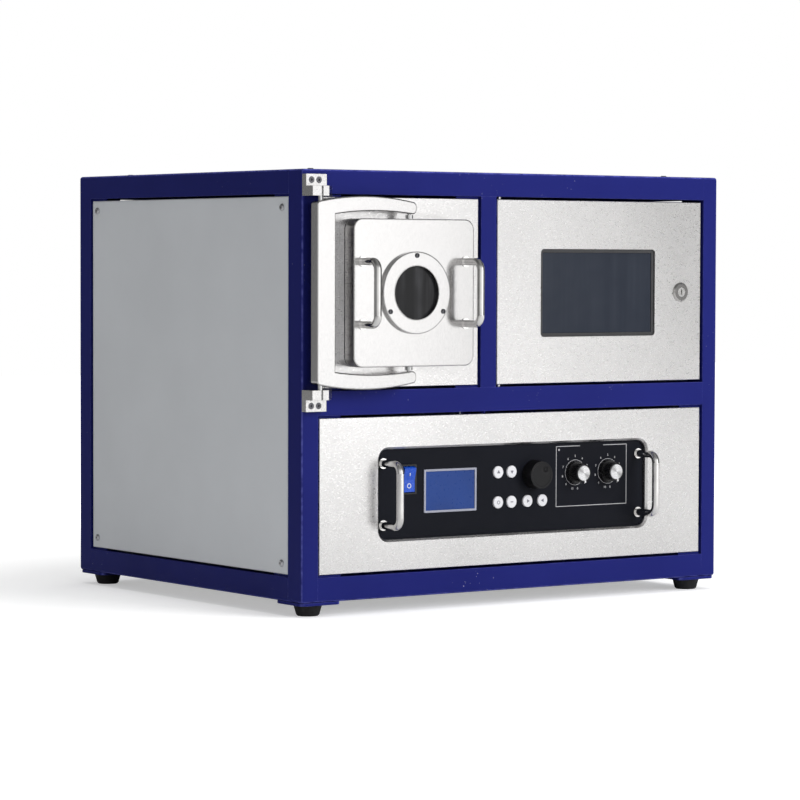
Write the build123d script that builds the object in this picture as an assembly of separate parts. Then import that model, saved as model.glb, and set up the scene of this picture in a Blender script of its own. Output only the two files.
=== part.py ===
from build123d import *
import os

# Cabinet, measured from the front left lower corner of the blue frame
frame_w = 550.0
frame_d = 450.0
frame_h = 440.0
rail_h = 25.0
rail_w = 20.0
post_d = 25.0
mid_stile_x = 225.0
upper_h = 250.0
tube_wall = 2.0
edge_r = 3.0

# Feet
corner_plate = 50.0
corner_plate_t = 3.0
corner_plate_r = 8.0
foot_h = 12.0
foot_top_r = 15.0
foot_low_r = 12.0
foot_inset = 23.0
foot_edge_r = 1.5
spigot_r = 4.0
soft_gap = 0.3

# Sheet panels
panel_gap = 2.5
panel_inset = 1.5
bottom_inset = 2.6
sheet_t = 1.5
front_sheet_t = 2.0
panel_bevel = 0.7
tab_size = 30.0
tab_t = 2.0
screw_inset = 11.0
top_screw_inset = 17.5
vent_count = 9
vent_pitch = 14.0
vent_len = 160.0
vent_w = 5.0

# Button head screws
screw_head_r = 3.6
screw_head_h = 2.2
screw_shank_r = 2.0
screw_len = 8.0
screw_hole_r = 2.2
screw_edge = 1.0
hex_r = 1.45
hex_depth = 1.3

# Chamber and its flange
door_x = 121.5
door_drop = 125.25
plate_w = 151.0
plate_r = 11.0
flange_front = -8.0
vessel_w = 132.0
vessel_r = 20.0
cavity_w = 116.0
cavity_r = 12.0
vessel_back = 262.0
vessel_wall = 8.0
plate_fit = 0.5
cord_r = 2.5
cord_w = 130.0
cord_corner = 20.0
cord_proud = 0.6
flange_screw = 71.0
flange_screw_spread = 42.0

# Electrode on ceramic posts
electrode_w = 96.0
electrode_y0 = 20.0
electrode_y1 = 240.0
electrode_t = 3.0
electrode_rise = 27.25
post_r = 5.0
post_inset = 14.0
tray_slots = 7
tray_slot_w = 8.0
tray_slot_len = 70.0
tray_pitch = 26.0

# Chamber door
door_front = -25.5
door_back = -9.5
door_edge = 0.6
window_r = 27.5
glass_t = 8.0
glass_r = 32.0
ring_r = 42.2
ring_t = 4.3
ring_screw_r = 38.2
ring_head_r = 2.5
ring_head_h = 1.4
ring_hex_depth = 0.9
ring_shank_r = 1.5
ring_screw_len = 11.0
seat_gap = 0.3

# D-handles
handle_pitch = 64.0
bar_r = 4.0
bend_r = 9.0
door_handle_reach = 26.5
door_handle_x = 64.5
rf_handle_reach = 31.0
rf_handle_x = 169.5
handle_collar_r = 5.5
handle_collar_h = 1.2

# Yoke, a C-shaped arm about the hinge pins
yoke_front = -21.0
yoke_back = -9.5
yoke_left = 4.6
band_w = 22.5
arm_end_x = 127.5
arm_corner_z = 92.0
arm_peak_z = 98.2
arm_inner_z = 79.6
arm_inner_peak_z = 83.2
arm_end_r = 5.0
yoke_corner_r = 4.0
yoke_edge = 1.0
pin_x = 12.0
pin_y = -15.25
pin_r = 2.5
running_gap = 0.06
pin_depth = 12.0
pivot_r = 2.0
pivot_depth = 10.0
pivot_collar_r = 4.0
pivot_collar_gap = 0.4

# Hinge blocks
lug_w = 25.0
lug_t = 7.4
lug_low_z = 108.0
lug_h = 12.0
knuckle_front = 19.3
knuckle_w = 20.0
knuckle_chamfer = 11.0
knuckle_low_z = 97.9
slit_w = 2.0
lug_screw_x = (6.5, 15.5)
lug_screw_z = 114.0
csk_r = 3.4
csk_depth = 2.2
lug_screw_len = 16.0

# Control door, a folded pan
return_depth = 12.0
pivot_in = 5.0
pivot_back = 4.0
door_pin_len = 16.0
door_pin_reach = 4.2
screen_left = 58.0
screen_to_lock = 35.9
screen_below = 49.5
screen_above = 52.0
screen_corner = 4.0
screen_lap = 4.0
screen_border = 4.0
hmi_flange_t = 2.0
hmi_depth = 32.0
hmi_shrink = 6.0
hmi_glass_t = 1.8
hmi_glass_sunk = 0.6

# Cam lock
lock_inset = 51.6
lock_drop = 126.0
lock_ring_r = 10.5
lock_ring_t = 2.5
lock_cone = 1.6
lock_barrel_r = 8.0
lock_barrel_len = 14.0
lock_nut_w = 22.0
lock_nut_t = 3.5
plug_r = 5.0
plug_tail_r = 3.0
slot_w = 1.6
slot_len = 6.5
slot_depth = 4.0
cam_t = 2.5
cam_w = 12.0
cam_reach = 22.0
catch_gap = 0.6
catch_inset = 35.0
catch_h = 30.0

# Radio-frequency unit
rf_off_x = -0.4
rf_off_z = -0.85
cut_w = 354.6
cut_h = 93.7
cut_r = 11.0
collar_wall = 3.5
collar_depth = 5.5
collar_bevel = 2.2
fascia_w = 372.0
fascia_h = 110.0
fascia_t = 3.0
case_w = 350.0
case_h = 92.0
case_d = 270.0
case_wall = 1.5
support_w = 22.0
support_wall = 2.0
support_inset = 40.0

# Rocker
rocker_at = (-137.4, 14.45)
bezel_w = 19.0
bezel_h = 31.0
bezel_t = 1.8
bezel_wall = 1.2
bezel_corner = 1.0
bezel_body_d = 16.0
rocker_gap = 0.3
rocker_axis_y = 9.5
rocker_tilt = 7.0
rocker_depth = 5.0

# Display
lcd_at = (-83.9, 1.35)
lcd_w = 67.8
lcd_h = 45.2
lcd_t = 1.2
lcd_border = 2.2
lcd_sunk = 0.6
lcd_screen_t = 3.0
lcd_lap = 1.0

# Push buttons, rows counted from the top
button_across = (-21.5, -3.7, 17.6, 37.5)
button_rows = (17.95, -14.05)
button_r = 6.4
button_proud = 2.0
button_edge = 0.5
button_flange_r = 7.6
button_flange_t = 1.5
button_back_gap = 0.05
button_stem_r = 3.0
button_stem = 5.0

# Power knob
knob_at = (26.8, 14.05)
knob_base_r = 15.5
knob_face_r = 14.5
knob_h = 13.5
knob_edge = 0.8
knob_gap = 0.5
dimple_r = 4.2
dimple_off = 8.2
dimple_sunk = 1.6
shaft_r = 3.0
shaft_len = 12.0

# Tuning knobs
dial_across = (82.9, 127.7)
dial_up = 14.15
skirt_r = 12.5
skirt_h = 4.0
grip_r = 9.5
grip_h = 14.5
grip_flutes = 12
flute_r = 1.0
cap_r = 8.2
cap_t = 1.2
cap_edge = 0.4
cap_nib = 2.4
cap_nib_w = 2.0
cap_sunk = 0.5
cap_angle = 281.0

# Equipment deck
deck_t = 2.0
deck_flange = 20.0
deck_side = 6.0

# Rear services
rear_reach = 24.0
port_bore_r = 12.0
port_wall = 2.0
kf_r = 20.0
kf_t = 3.0
kf_neck_r = 17.0
kf_recess_r = 13.1
kf_recess = 3.0
port_hole_gap = 2.0
port_gusset_r = 24.0
port_gusset_t = 5.0
gas_below = (56.75, 32.75)
gas_x = 62.0
tube_r = 3.0
tube_bore_r = 2.0
line_bend_r = 12.0
line_straight = 50.0
fitting_r = 6.0
fitting_bore_r = 3.05
fitting_bore_len = 14.0
fitting_out = 12.0
fitting_in = 14.0
fitting_hex = 16.0
fitting_hex_t = 4.0
inlet_inset = 80.0
inlet_z = 70.0
inlet_hole_w = 28.0
inlet_hole_h = 20.0
inlet_flange_w = 48.0
inlet_flange_h = 26.0
inlet_flange_t = 2.5
inlet_depth = 22.0
inlet_socket_w = 24.0
inlet_socket_h = 16.0
inlet_socket_d = 17.0
inlet_pin_w = 2.0
inlet_pin_h = 4.0
inlet_pin_len = 12.0
inlet_pin_pitch = 7.0
fan_inset = 130.0
fan_rise = 120.0
fan_w = 80.0
fan_d = 25.0
fan_bore_r = 37.5
fan_hub_r = 16.0
fan_hub_wall = 2.0
fan_corner_r = 4.0
fan_strut_w = 4.0
fan_strut_t = 3.0
fan_strut_turn = 45.0
fan_blades = 7
fan_blade_r = 36.5
fan_blade_t = 1.6
fan_blade_tilt = 38.0
fan_blade_h = 14.0
fan_shaft_r = 2.5
fan_boss_r = 6.0
grille_slots = 7
grille_pitch = 9.6
grille_slot_w = 5.6
grille_r = 35.0

# Derived places
base_z = foot_h + corner_plate_t
front_reach = -(door_front - door_handle_reach - bar_r)
total_d = front_reach + frame_d + rear_reach
shift_y = front_reach - total_d / 2
face_back = panel_inset + front_sheet_t
mid_rail_z = frame_h - upper_h
door_z = frame_h - door_drop
electrode_z = door_z - cavity_w / 2 + electrode_rise
gas_z = tuple(door_z - drop for drop in gas_below)
rf_front = panel_inset + collar_depth
rf_back = rf_front + fascia_t
rear_face = frame_d - panel_inset
rear_sheet = rear_face - sheet_t
cdoor_x0 = mid_stile_x + rail_w + panel_gap
cdoor_x1 = frame_w - rail_w - panel_gap
upper_z0 = mid_rail_z + rail_h + panel_gap
upper_z1 = frame_h - rail_h - panel_gap
lock_x = frame_w - lock_inset
lock_z = frame_h - lock_drop
screen_x0 = cdoor_x0 + screen_left
screen_x1 = lock_x - screen_to_lock
screen_z0 = upper_z0 + screen_below
screen_z1 = upper_z1 - screen_above
rf_x = frame_w / 2 + rf_off_x
rf_z = (rail_h + mid_rail_z) / 2 + rf_off_z
rocker_x = rf_x + rocker_at[0]
rocker_z = rf_z + rocker_at[1]
lcd_x = rf_x + lcd_at[0]
lcd_z = rf_z + lcd_at[1]
knob_x = rf_x + knob_at[0]
knob_z = rf_z + knob_at[1]
dial_x = tuple(rf_x + across for across in dial_across)
dial_z = rf_z + dial_up
inlet_x = frame_w - inlet_inset
fan_x = frame_w - fan_inset
fan_z = mid_rail_z + fan_rise
support_low = bottom_inset + sheet_t


def save(shape, node):
    moved = Pos(-frame_w / 2, shift_y, base_z) * shape
    export_step(moved, "parts/" + node + ".step")


def group(shapes):
    return Compound(children=list(shapes))


def block(x0, x1, y0, y1, z0, z1):
    return Pos(x0, y0, z0) * Box(x1 - x0, y1 - y0, z1 - z0, align=(Align.MIN, Align.MIN, Align.MIN))


def along_y(sketch, x, z, y0, y1):
    return extrude(Plane.XZ.offset(-y0) * (Pos(x, z) * sketch), -(y1 - y0))


def plate_y(x, z, w, h, r, y0, y1):
    return along_y(RectangleRounded(w, h, r), x, z, y0, y1)


def rod_y(x, z, r, y0, y1):
    return along_y(Circle(r), x, z, y0, y1)


def rod_z(x, y, r, z0, z1):
    return Pos(x, y, z0) * Cylinder(r, z1 - z0, align=(Align.CENTER, Align.CENTER, Align.MIN))


def turned_y(points, x, z):
    # points are radius and Y, the shape is turned about the Y direction
    return Pos(x, 0, z) * revolve(make_face(Polyline(points, close=True)), Axis.Y)


def mirror_z(shape):
    return mirror(shape, Plane.XY.offset(door_z))


# Frame
def envelope():
    return fillet(block(0, frame_w, 0, frame_d, 0, frame_h).edges(), edge_r)


def tube(x0, x1, y0, y1, z0, z1, axis, cap=0):
    bore = [tube_wall, tube_wall, tube_wall]
    bore[axis] = 0
    inner = block(x0 + bore[0], x1 - bore[0], y0 + bore[1], y1 - bore[1], z0 + bore[2], z1 - bore[2] - cap)
    return (block(x0, x1, y0, y1, z0, z1) - inner) & envelope()


def corner_post(x0, y0):
    return tube(x0, x0 + rail_w, y0, y0 + post_d, 0, frame_h, 2, tube_wall)


def mid_stile():
    x1 = mid_stile_x + rail_w
    return tube(mid_stile_x, x1, 0, post_d, mid_rail_z + rail_h, frame_h - rail_h, 2)


def rail(y0, z0):
    return tube(rail_w, frame_w - rail_w, y0, y0 + post_d, z0, z0 + rail_h, 0)


def pivot_axis():
    return cdoor_x0 + pivot_in, panel_inset + pivot_back


def front_frame():
    left = corner_post(0, 0)
    for x in lug_screw_x:
        for z in (door_z + lug_screw_z, door_z - lug_screw_z):
            left -= rod_y(x, z, screw_shank_r, 0, tube_wall)
    px, py = pivot_axis()
    holes = rod_z(px, py, pivot_r + running_gap, mid_rail_z, frame_h - tube_wall)
    tubes = [left, corner_post(frame_w - rail_w, 0), mid_stile(), rail(0, 0)]
    tubes += [rail(0, mid_rail_z) - holes, rail(0, frame_h - rail_h) - holes]
    return group(tubes)


def rear_frame():
    y0 = frame_d - post_d
    tubes = [corner_post(0, y0), corner_post(frame_w - rail_w, y0)]
    for z in (0, frame_h - rail_h):
        tubes.append(rail(y0, z))
        for x in (0, frame_w - rail_w):
            tubes.append(tube(x, x + rail_w, post_d, y0, z, z + rail_h, 1))
    return group(tubes)


def foot_places():
    far_x = frame_w - foot_inset
    far_y = frame_d - foot_inset
    return [(foot_inset, foot_inset), (far_x, foot_inset), (foot_inset, far_y), (far_x, far_y)]


def corner_plates():
    half = corner_plate / 2
    made = []
    for x in (half, frame_w - half):
        for y in (half, frame_d - half):
            outline = RectangleRounded(corner_plate, corner_plate, corner_plate_r)
            made.append(Pos(x, y, -corner_plate_t) * extrude(outline, corner_plate_t))
    holes = [rod_z(x, y, spigot_r + soft_gap, -corner_plate_t, 0) for x, y in foot_places()]
    return group(plate - holes for plate in made)


def feet():
    profile = Polyline(
        (0, 0), (foot_low_r - foot_edge_r, 0), (foot_low_r, foot_edge_r),
        (foot_top_r, foot_h), (spigot_r, foot_h), (spigot_r, foot_h + corner_plate_t - soft_gap),
        (0, foot_h + corner_plate_t - soft_gap), close=True)
    foot = revolve(make_face(Plane.XZ * profile), Axis.Z)
    return group(Pos(x, y, -base_z) * foot for x, y in foot_places())


# Panels and their tabs
def opening_corners(u0, u1, v0, v1, inset):
    return [(u, v) for u in (u0 + inset, u1 - inset) for v in (v0 + inset, v1 - inset)]


def inset_sheet(u0, u1, v0, v1, thick, hole_inset):
    # flat sheet for the opening u0..u1 by v0..v1, outer face down at z = 0
    w = u1 - u0 - 2 * panel_gap
    h = v1 - v0 - 2 * panel_gap
    sheet = Pos((u0 + u1) / 2, (v0 + v1) / 2) * Box(w, h, thick, align=(Align.CENTER, Align.CENTER, Align.MIN))
    sheet = chamfer(sheet.faces().sort_by(Axis.Z)[0].edges(), panel_bevel)
    if hole_inset:
        for u, v in opening_corners(u0, u1, v0, v1, panel_gap + hole_inset):
            sheet -= Pos(u, v) * Cylinder(screw_hole_r, 4 * thick)
    return sheet


def corner_tabs(u0, u1, v0, v1, thick, hole_inset):
    made = []
    size = tab_size
    for u, su in ((u0, 1), (u1, -1)):
        for v, sv in ((v0, 1), (v1, -1)):
            tab = Pos(u + su * size / 2, v + sv * size / 2, thick + tab_t / 2) * Box(size, size, tab_t)
            if hole_inset:
                step = panel_gap + hole_inset
                shank = Cylinder(screw_shank_r + running_gap, 4 * tab_t)
                tab -= Pos(u + su * step, v + sv * step, thick) * shank
            made.append(tab)
    return made


def left_side():
    # sheet plane: u along Y, v along Z, outer face to -X
    return Location(Plane(origin=(panel_inset, 0, 0), x_dir=(0, 1, 0), z_dir=(1, 0, 0)))


def right_side():
    return Location(Plane(origin=(frame_w - panel_inset, 0, 0), x_dir=(0, 1, 0), z_dir=(-1, 0, 0)))


def top_side():
    return Location(Plane(origin=(0, 0, frame_h), x_dir=(1, 0, 0), z_dir=(0, 0, -1)))


def bottom_side():
    return Location(Plane(origin=(0, 0, bottom_inset), x_dir=(1, 0, 0), z_dir=(0, 0, 1)))


def rear_side():
    return Location(Plane(origin=(0, rear_face, 0), x_dir=(1, 0, 0), z_dir=(0, -1, 0)))


def front_side():
    return Location(Plane(origin=(0, panel_inset, 0), x_dir=(1, 0, 0), z_dir=(0, 1, 0)))


def openings():
    side = (post_d, frame_d - post_d, rail_h, frame_h - rail_h)
    mirrored = (post_d, frame_d - post_d, rail_h - frame_h, -rail_h)
    flat = (rail_w, frame_w - rail_w, post_d, frame_d - post_d)
    flipped = (rail_w, frame_w - rail_w, post_d - frame_d, -post_d)
    rear = (rail_w, frame_w - rail_w, rail_h, frame_h - rail_h)
    return side, (side[0], side[1], -side[3], -side[2]), flipped, flat, rear


def panel_places():
    side, side_neg, flipped, flat, rear = openings()
    return {
        "left_panel": (left_side(), side, screw_inset),
        "right_panel": (right_side(), side_neg, screw_inset),
        "top_panel": (top_side(), flipped, top_screw_inset),
        "bottom_panel": (bottom_side(), flat, screw_inset),
        "rear_panel": (rear_side(), rear, screw_inset),
    }


def plain_panel(node):
    place, area, inset = panel_places()[node]
    return place * inset_sheet(*area, sheet_t, inset)


def bottom_panel():
    sheet = plain_panel("bottom_panel")
    for i in range(vent_count):
        x = frame_w / 2 + (i - (vent_count - 1) / 2) * vent_pitch
        sheet -= Pos(x, frame_d / 2) * extrude(SlotOverall(vent_len, vent_w, rotation=90), rail_h)
    return sheet


def rear_panel():
    sheet = plain_panel("rear_panel")
    back = frame_d + rear_reach
    sheet -= rod_y(door_x, door_z, port_bore_r + port_wall + port_hole_gap, vessel_back, back)
    for z in gas_z:
        sheet -= rod_y(gas_x, z, fitting_r + running_gap, vessel_back, back)
    cut = Rectangle(inlet_hole_w + plate_fit, inlet_hole_h + plate_fit)
    sheet -= along_y(cut, inlet_x, inlet_z, vessel_back, back)
    for i in range(grille_slots):
        dz = (i - (grille_slots - 1) / 2) * grille_pitch
        length = 2 * (grille_r ** 2 - dz ** 2) ** 0.5 + grille_slot_w
        sheet -= along_y(SlotOverall(length, grille_slot_w), fan_x, fan_z + dz, vessel_back, back)
    return sheet


def chamber_area():
    # the front plane's second direction points down
    return rail_w, mid_stile_x, rail_h - frame_h, -mid_rail_z - rail_h


def lower_area():
    return rail_w, frame_w - rail_w, -mid_rail_z, -rail_h


def panel_tabs():
    made = []
    for place, area, inset in panel_places().values():
        made += [place * tab for tab in corner_tabs(*area, sheet_t, inset)]
    for area in (chamber_area(), lower_area()):
        made += [front_side() * tab for tab in corner_tabs(*area, front_sheet_t, 0)]
    y0 = panel_inset + return_depth + catch_gap
    x0 = frame_w - catch_inset
    made.append(block(x0, frame_w - rail_w, y0, y0 + tab_t, lock_z - catch_h / 2, lock_z + catch_h / 2))
    return group(made)


def button_screw():
    # head above z = 0, shank below
    profile = Polyline(
        (0, -screw_len), (screw_shank_r, -screw_len), (screw_shank_r, 0), (screw_head_r, 0),
        (screw_head_r, screw_head_h - screw_edge), (screw_head_r - screw_edge, screw_head_h),
        (0, screw_head_h), close=True)
    screw = revolve(make_face(Plane.XZ * profile), Axis.Z)
    return screw - Pos(0, 0, screw_head_h - hex_depth) * extrude(RegularPolygon(hex_r, 6), hex_depth)


def flange_screw_places():
    places = []
    for side in (-flange_screw, flange_screw):
        for along in (-flange_screw_spread, flange_screw_spread):
            places += [(door_x + side, door_z + along), (door_x + along, door_z + side)]
    return places


def button_screws():
    made = []
    for place, area, inset in panel_places().values():
        for u, v in opening_corners(*area, panel_gap + inset):
            made.append(place * Pos(u, v, 0) * Rot(180, 0, 0) * button_screw())
    for x, z in flange_screw_places():
        made.append(Pos(x, face_back, z) * Rot(-90, 0, 0) * button_screw())
    return group(made)


# Front plates
def chamber_face():
    sheet = front_side() * inset_sheet(*chamber_area(), front_sheet_t, 0)
    sheet -= plate_y(door_x, door_z, vessel_w + 2 * plate_fit, vessel_w + 2 * plate_fit, vessel_r, 0, face_back)
    for x, z in flange_screw_places():
        sheet -= rod_y(x, z, screw_hole_r, 0, face_back)
    return sheet


def lower_panel():
    sheet = front_side() * inset_sheet(*lower_area(), front_sheet_t, 0)
    wall = 2 * collar_wall
    sheet += plate_y(rf_x, rf_z, cut_w + wall, cut_h + wall, cut_r + collar_wall, panel_inset, rf_front)
    sheet -= plate_y(rf_x, rf_z, cut_w, cut_h, cut_r, panel_inset, rf_front)
    rim = sheet.faces().filter_by(Axis.Y).sort_by(Axis.Y)[0].inner_wires()[0].edges()
    return chamfer(rim, collar_bevel)


def equipment_deck():
    x0 = deck_side
    x1 = frame_w - deck_side
    y1 = frame_d - post_d
    deck = block(x0, x1, post_d, y1, mid_rail_z, mid_rail_z + deck_t)
    deck += block(rail_w, frame_w - rail_w, post_d, post_d + deck_t, mid_rail_z, mid_rail_z + deck_flange)
    return deck + block(x0, x1, y1 - deck_t, y1, mid_rail_z, mid_rail_z + deck_flange)


# Vacuum chamber
def chamber():
    body = plate_y(door_x, door_z, vessel_w, vessel_w, vessel_r, flange_front, vessel_back)
    body += plate_y(door_x, door_z, plate_w, plate_w, plate_r, flange_front, panel_inset)
    back_wall = vessel_back - vessel_wall
    body -= plate_y(door_x, door_z, cavity_w, cavity_w, cavity_r, flange_front, back_wall)
    half = cord_r + soft_gap
    depth = 2 * cord_r - cord_proud + soft_gap
    outer = cord_w + 2 * half
    inner = cord_w - 2 * half
    groove = RectangleRounded(outer, outer, cord_corner + half) - RectangleRounded(inner, inner, cord_corner - half)
    body -= along_y(groove, door_x, door_z, flange_front, flange_front + depth)
    for x, z in flange_screw_places():
        body -= rod_y(x, z, screw_shank_r + running_gap, face_back - screw_len - soft_gap, panel_inset)
    body -= rod_y(door_x, door_z, port_bore_r + port_wall, back_wall, vessel_back)
    for z in gas_z:
        body -= rod_y(gas_line_x(), z, tube_r, back_wall, vessel_back)
    return body


def door_seal():
    centre_y = flange_front - cord_proud + cord_r
    path = Plane.XZ.offset(-centre_y) * (Pos(door_x, door_z) * RectangleRounded(cord_w, cord_w, cord_corner))
    wire = path.wire()
    return sweep(Plane(origin=wire @ 0, z_dir=wire % 0) * Circle(cord_r), path=wire)


def electrode():
    top = electrode_z
    y_mid = (electrode_y0 + electrode_y1) / 2
    tray = Pos(door_x, y_mid, top - electrode_t) * extrude(
        RectangleRounded(electrode_w, electrode_y1 - electrode_y0, post_r), electrode_t)
    for i in range(tray_slots):
        y = y_mid + (i - (tray_slots - 1) / 2) * tray_pitch
        tray -= Pos(door_x, y, top - electrode_t) * extrude(SlotOverall(tray_slot_len, tray_slot_w), electrode_t)
    return tray


def electrode_posts():
    floor = door_z - cavity_w / 2
    made = []
    for x in (door_x - electrode_w / 2 + post_inset, door_x + electrode_w / 2 - post_inset):
        for y in (electrode_y0 + post_inset / 2, electrode_y1 - post_inset / 2):
            made.append(rod_z(x, y, post_r, floor, electrode_z - electrode_t))
    return group(made)


def vacuum_port():
    inner = vessel_back - vessel_wall
    back = frame_d + rear_reach
    outer_r = port_bore_r + port_wall
    points = [
        (port_bore_r, inner), (outer_r, inner), (outer_r, vessel_back), (port_gusset_r, vessel_back),
        (port_gusset_r, vessel_back + port_gusset_t), (outer_r, vessel_back + port_gusset_t),
        (outer_r, back - 2 * kf_t), (kf_neck_r, back - 2 * kf_t), (kf_r, back - kf_t), (kf_r, back),
        (kf_recess_r, back), (kf_recess_r, back - kf_recess), (port_bore_r, back - kf_recess)]
    return turned_y(points, door_x, door_z)


def gas_line_x():
    return door_x - cavity_w / 2 + fitting_r + tube_r


def gas_inlets():
    made = []
    for z in gas_z:
        out = rear_face + fitting_out
        body = rod_y(gas_x, z, fitting_r, rear_sheet - fitting_in, out)
        body += along_y(RegularPolygon(fitting_hex / 2, 6), gas_x, z, rear_face, rear_face + fitting_hex_t)
        body += along_y(RegularPolygon(fitting_hex / 2, 6), gas_x, z, rear_sheet - fitting_hex_t, rear_sheet)
        body -= rod_y(gas_x, z, fitting_bore_r, out - fitting_bore_len, out)
        body -= rod_y(gas_x, z, tube_bore_r, rear_sheet - fitting_in, out)
        made.append(body)
    return group(made)


def gas_lines():
    made = []
    y0 = vessel_back - vessel_wall
    y1 = rear_sheet - fitting_in
    x1 = gas_line_x()
    for z in gas_z:
        pts = [(x1, y0, z), (x1, vessel_back + line_straight, z), (gas_x, y1 - line_straight, z), (gas_x, y1, z)]
        path = FilletPolyline(*pts, radius=line_bend_r)
        start = Plane(origin=path @ 0, z_dir=path % 0)
        made.append(sweep(start * (Circle(tube_r) - Circle(tube_bore_r)), path=path))
    return group(made)


def mains_inlet():
    y0 = rear_face - inlet_depth
    y1 = rear_face + inlet_flange_t
    body = along_y(Rectangle(inlet_hole_w, inlet_hole_h), inlet_x, inlet_z, y0, y1)
    body += plate_y(inlet_x, inlet_z, inlet_flange_w, inlet_flange_h, inlet_flange_t, rear_face, y1)
    socket_y = y1 - inlet_socket_d
    body -= along_y(Rectangle(inlet_socket_w, inlet_socket_h), inlet_x, inlet_z, socket_y, y1)
    for i in (-1, 0, 1):
        lift = inlet_pin_w if i == 0 else -inlet_pin_w
        pin = Rectangle(inlet_pin_w, inlet_pin_h)
        x = inlet_x + i * inlet_pin_pitch
        body += along_y(pin, x, inlet_z + lift, socket_y, socket_y + inlet_pin_len)
    return body


def fan_frame():
    y1 = rear_sheet
    y0 = y1 - fan_d
    body = plate_y(fan_x, fan_z, fan_w, fan_w, fan_corner_r, y0, y1)
    body -= rod_y(fan_x, fan_z, fan_bore_r, y0, y1)
    hub = rod_y(fan_x, fan_z, fan_hub_r, y0, y0 + fan_strut_t)
    for turn in (0, 90):
        bar = Rectangle(2 * fan_bore_r + fan_strut_w, fan_strut_w, rotation=turn + fan_strut_turn)
        hub += along_y(bar, fan_x, fan_z, y0, y0 + fan_strut_t)
    body += hub
    return body - rod_y(fan_x, fan_z, fan_shaft_r + running_gap, y0, y0 + fan_strut_t)


def fan_rotor():
    y0 = rear_sheet - fan_d + fan_strut_t + knob_gap
    y1 = rear_sheet - fan_strut_t
    hub = turned_y([
        (0, y0 - fan_strut_t - knob_gap), (fan_shaft_r, y0 - fan_strut_t - knob_gap), (fan_shaft_r, y0),
        (fan_boss_r, y0), (fan_boss_r, y1 - fan_hub_wall), (fan_hub_r - fan_hub_wall, y1 - fan_hub_wall),
        (fan_hub_r - fan_hub_wall, y0), (fan_hub_r, y0), (fan_hub_r, y1), (0, y1)], 0, 0)
    reach = fan_blade_r - fan_hub_r + fan_hub_wall / 2
    span = (fan_blade_r + fan_hub_r - fan_hub_wall / 2) / 2
    blade = Pos(span, (y0 + y1) / 2, 0) * Rot(fan_blade_tilt, 0, 0) * Box(reach, fan_blade_h, fan_blade_t)
    for i in range(fan_blades):
        hub += Rot(0, i * 360 / fan_blades, 0) * blade
    return Pos(fan_x, 0, fan_z) * hub


# Radio-frequency unit
def rf_fascia():
    plate = plate_y(rf_x, rf_z, fascia_w, fascia_h, plate_fit, rf_front, rf_back)
    hole_w = bezel_w - 2 * bezel_wall + plate_fit
    hole_h = bezel_h - 2 * bezel_wall + plate_fit
    plate -= along_y(Rectangle(hole_w, hole_h), rocker_x, rocker_z, rf_front, rf_back)
    screen_w = lcd_w - 2 * lcd_border + 2 * plate_fit
    screen_h = lcd_h - 2 * lcd_border + 2 * plate_fit
    plate -= along_y(Rectangle(screen_w, screen_h), lcd_x, lcd_z, rf_front, rf_back)
    for x, z in button_places():
        plate -= rod_y(x, z, button_r + running_gap, rf_front, rf_back)
    plate -= rod_y(knob_x, knob_z, shaft_r + running_gap, rf_front, rf_back)
    for x in dial_x:
        plate -= rod_y(x, dial_z, shaft_r + running_gap, rf_front, rf_back)
    return plate


def rf_case():
    box = along_y(Rectangle(case_w, case_h), rf_x, rf_z, rf_back, rf_back + case_d)
    inner = Rectangle(case_w - 2 * case_wall, case_h - 2 * case_wall)
    return box - along_y(inner, rf_x, rf_z, rf_back, rf_back + case_d - case_wall)


def rf_rails():
    z1 = rf_z - case_h / 2
    made = []
    for x in (rf_x - case_w / 2 + support_inset, rf_x + case_w / 2 - support_inset):
        x0 = x - support_w / 2
        x1 = x + support_w / 2
        bar = block(x0, x1, post_d, frame_d - post_d, support_low, z1)
        bar -= block(x0 + support_wall, x1 - support_wall, post_d, frame_d - post_d, support_low, z1 - support_wall)
        made.append(bar)
    return group(made)


def rocker_bezel():
    y0 = rf_front - bezel_t
    y1 = rf_front + bezel_body_d
    in_w = bezel_w - 2 * bezel_wall
    in_h = bezel_h - 2 * bezel_wall
    body = plate_y(rocker_x, rocker_z, bezel_w, bezel_h, bezel_corner, y0, rf_front)
    body += along_y(Rectangle(in_w, in_h), rocker_x, rocker_z, rf_front, y1)
    well = Rectangle(in_w - 2 * bezel_wall + 2 * rocker_gap, in_h - 2 * rocker_gap)
    return body - along_y(well, rocker_x, rocker_z, y0, y1 - bezel_wall)


def rocker():
    half = (bezel_h - 2 * bezel_wall) / 2 - 2 * rocker_gap
    width = bezel_w - 4 * bezel_wall
    slope = Vector(1, 0).rotate(Axis.Z, rocker_tilt).Y * half
    y_mid = rf_front - bezel_t - rocker_axis_y
    outer = Polyline(
        (0, y_mid), (half, y_mid - slope), (half, rocker_depth / 2), (0, rocker_depth),
        (-half, rocker_depth / 2), (-half, y_mid - slope), close=True)
    # profile is drawn with Z across and Y up
    side = Plane(origin=(0, 0, 0), x_dir=(0, 0, 1), z_dir=(-1, 0, 0))
    solid = extrude(side * make_face(outer), width / 2, both=True)
    ends = extrude(Plane.YZ * Circle(half), width, both=True)
    return Pos(rocker_x, rocker_axis_y, rocker_z) * Rot(rocker_tilt, 0, 0) * (solid & ends)


def lcd_frame():
    y0 = rf_front - lcd_t
    frame = plate_y(lcd_x, lcd_z, lcd_w, lcd_h, lcd_lap, y0, rf_front)
    window = Rectangle(lcd_w - 2 * lcd_border, lcd_h - 2 * lcd_border)
    return frame - along_y(window, lcd_x, lcd_z, y0, rf_front)


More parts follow.
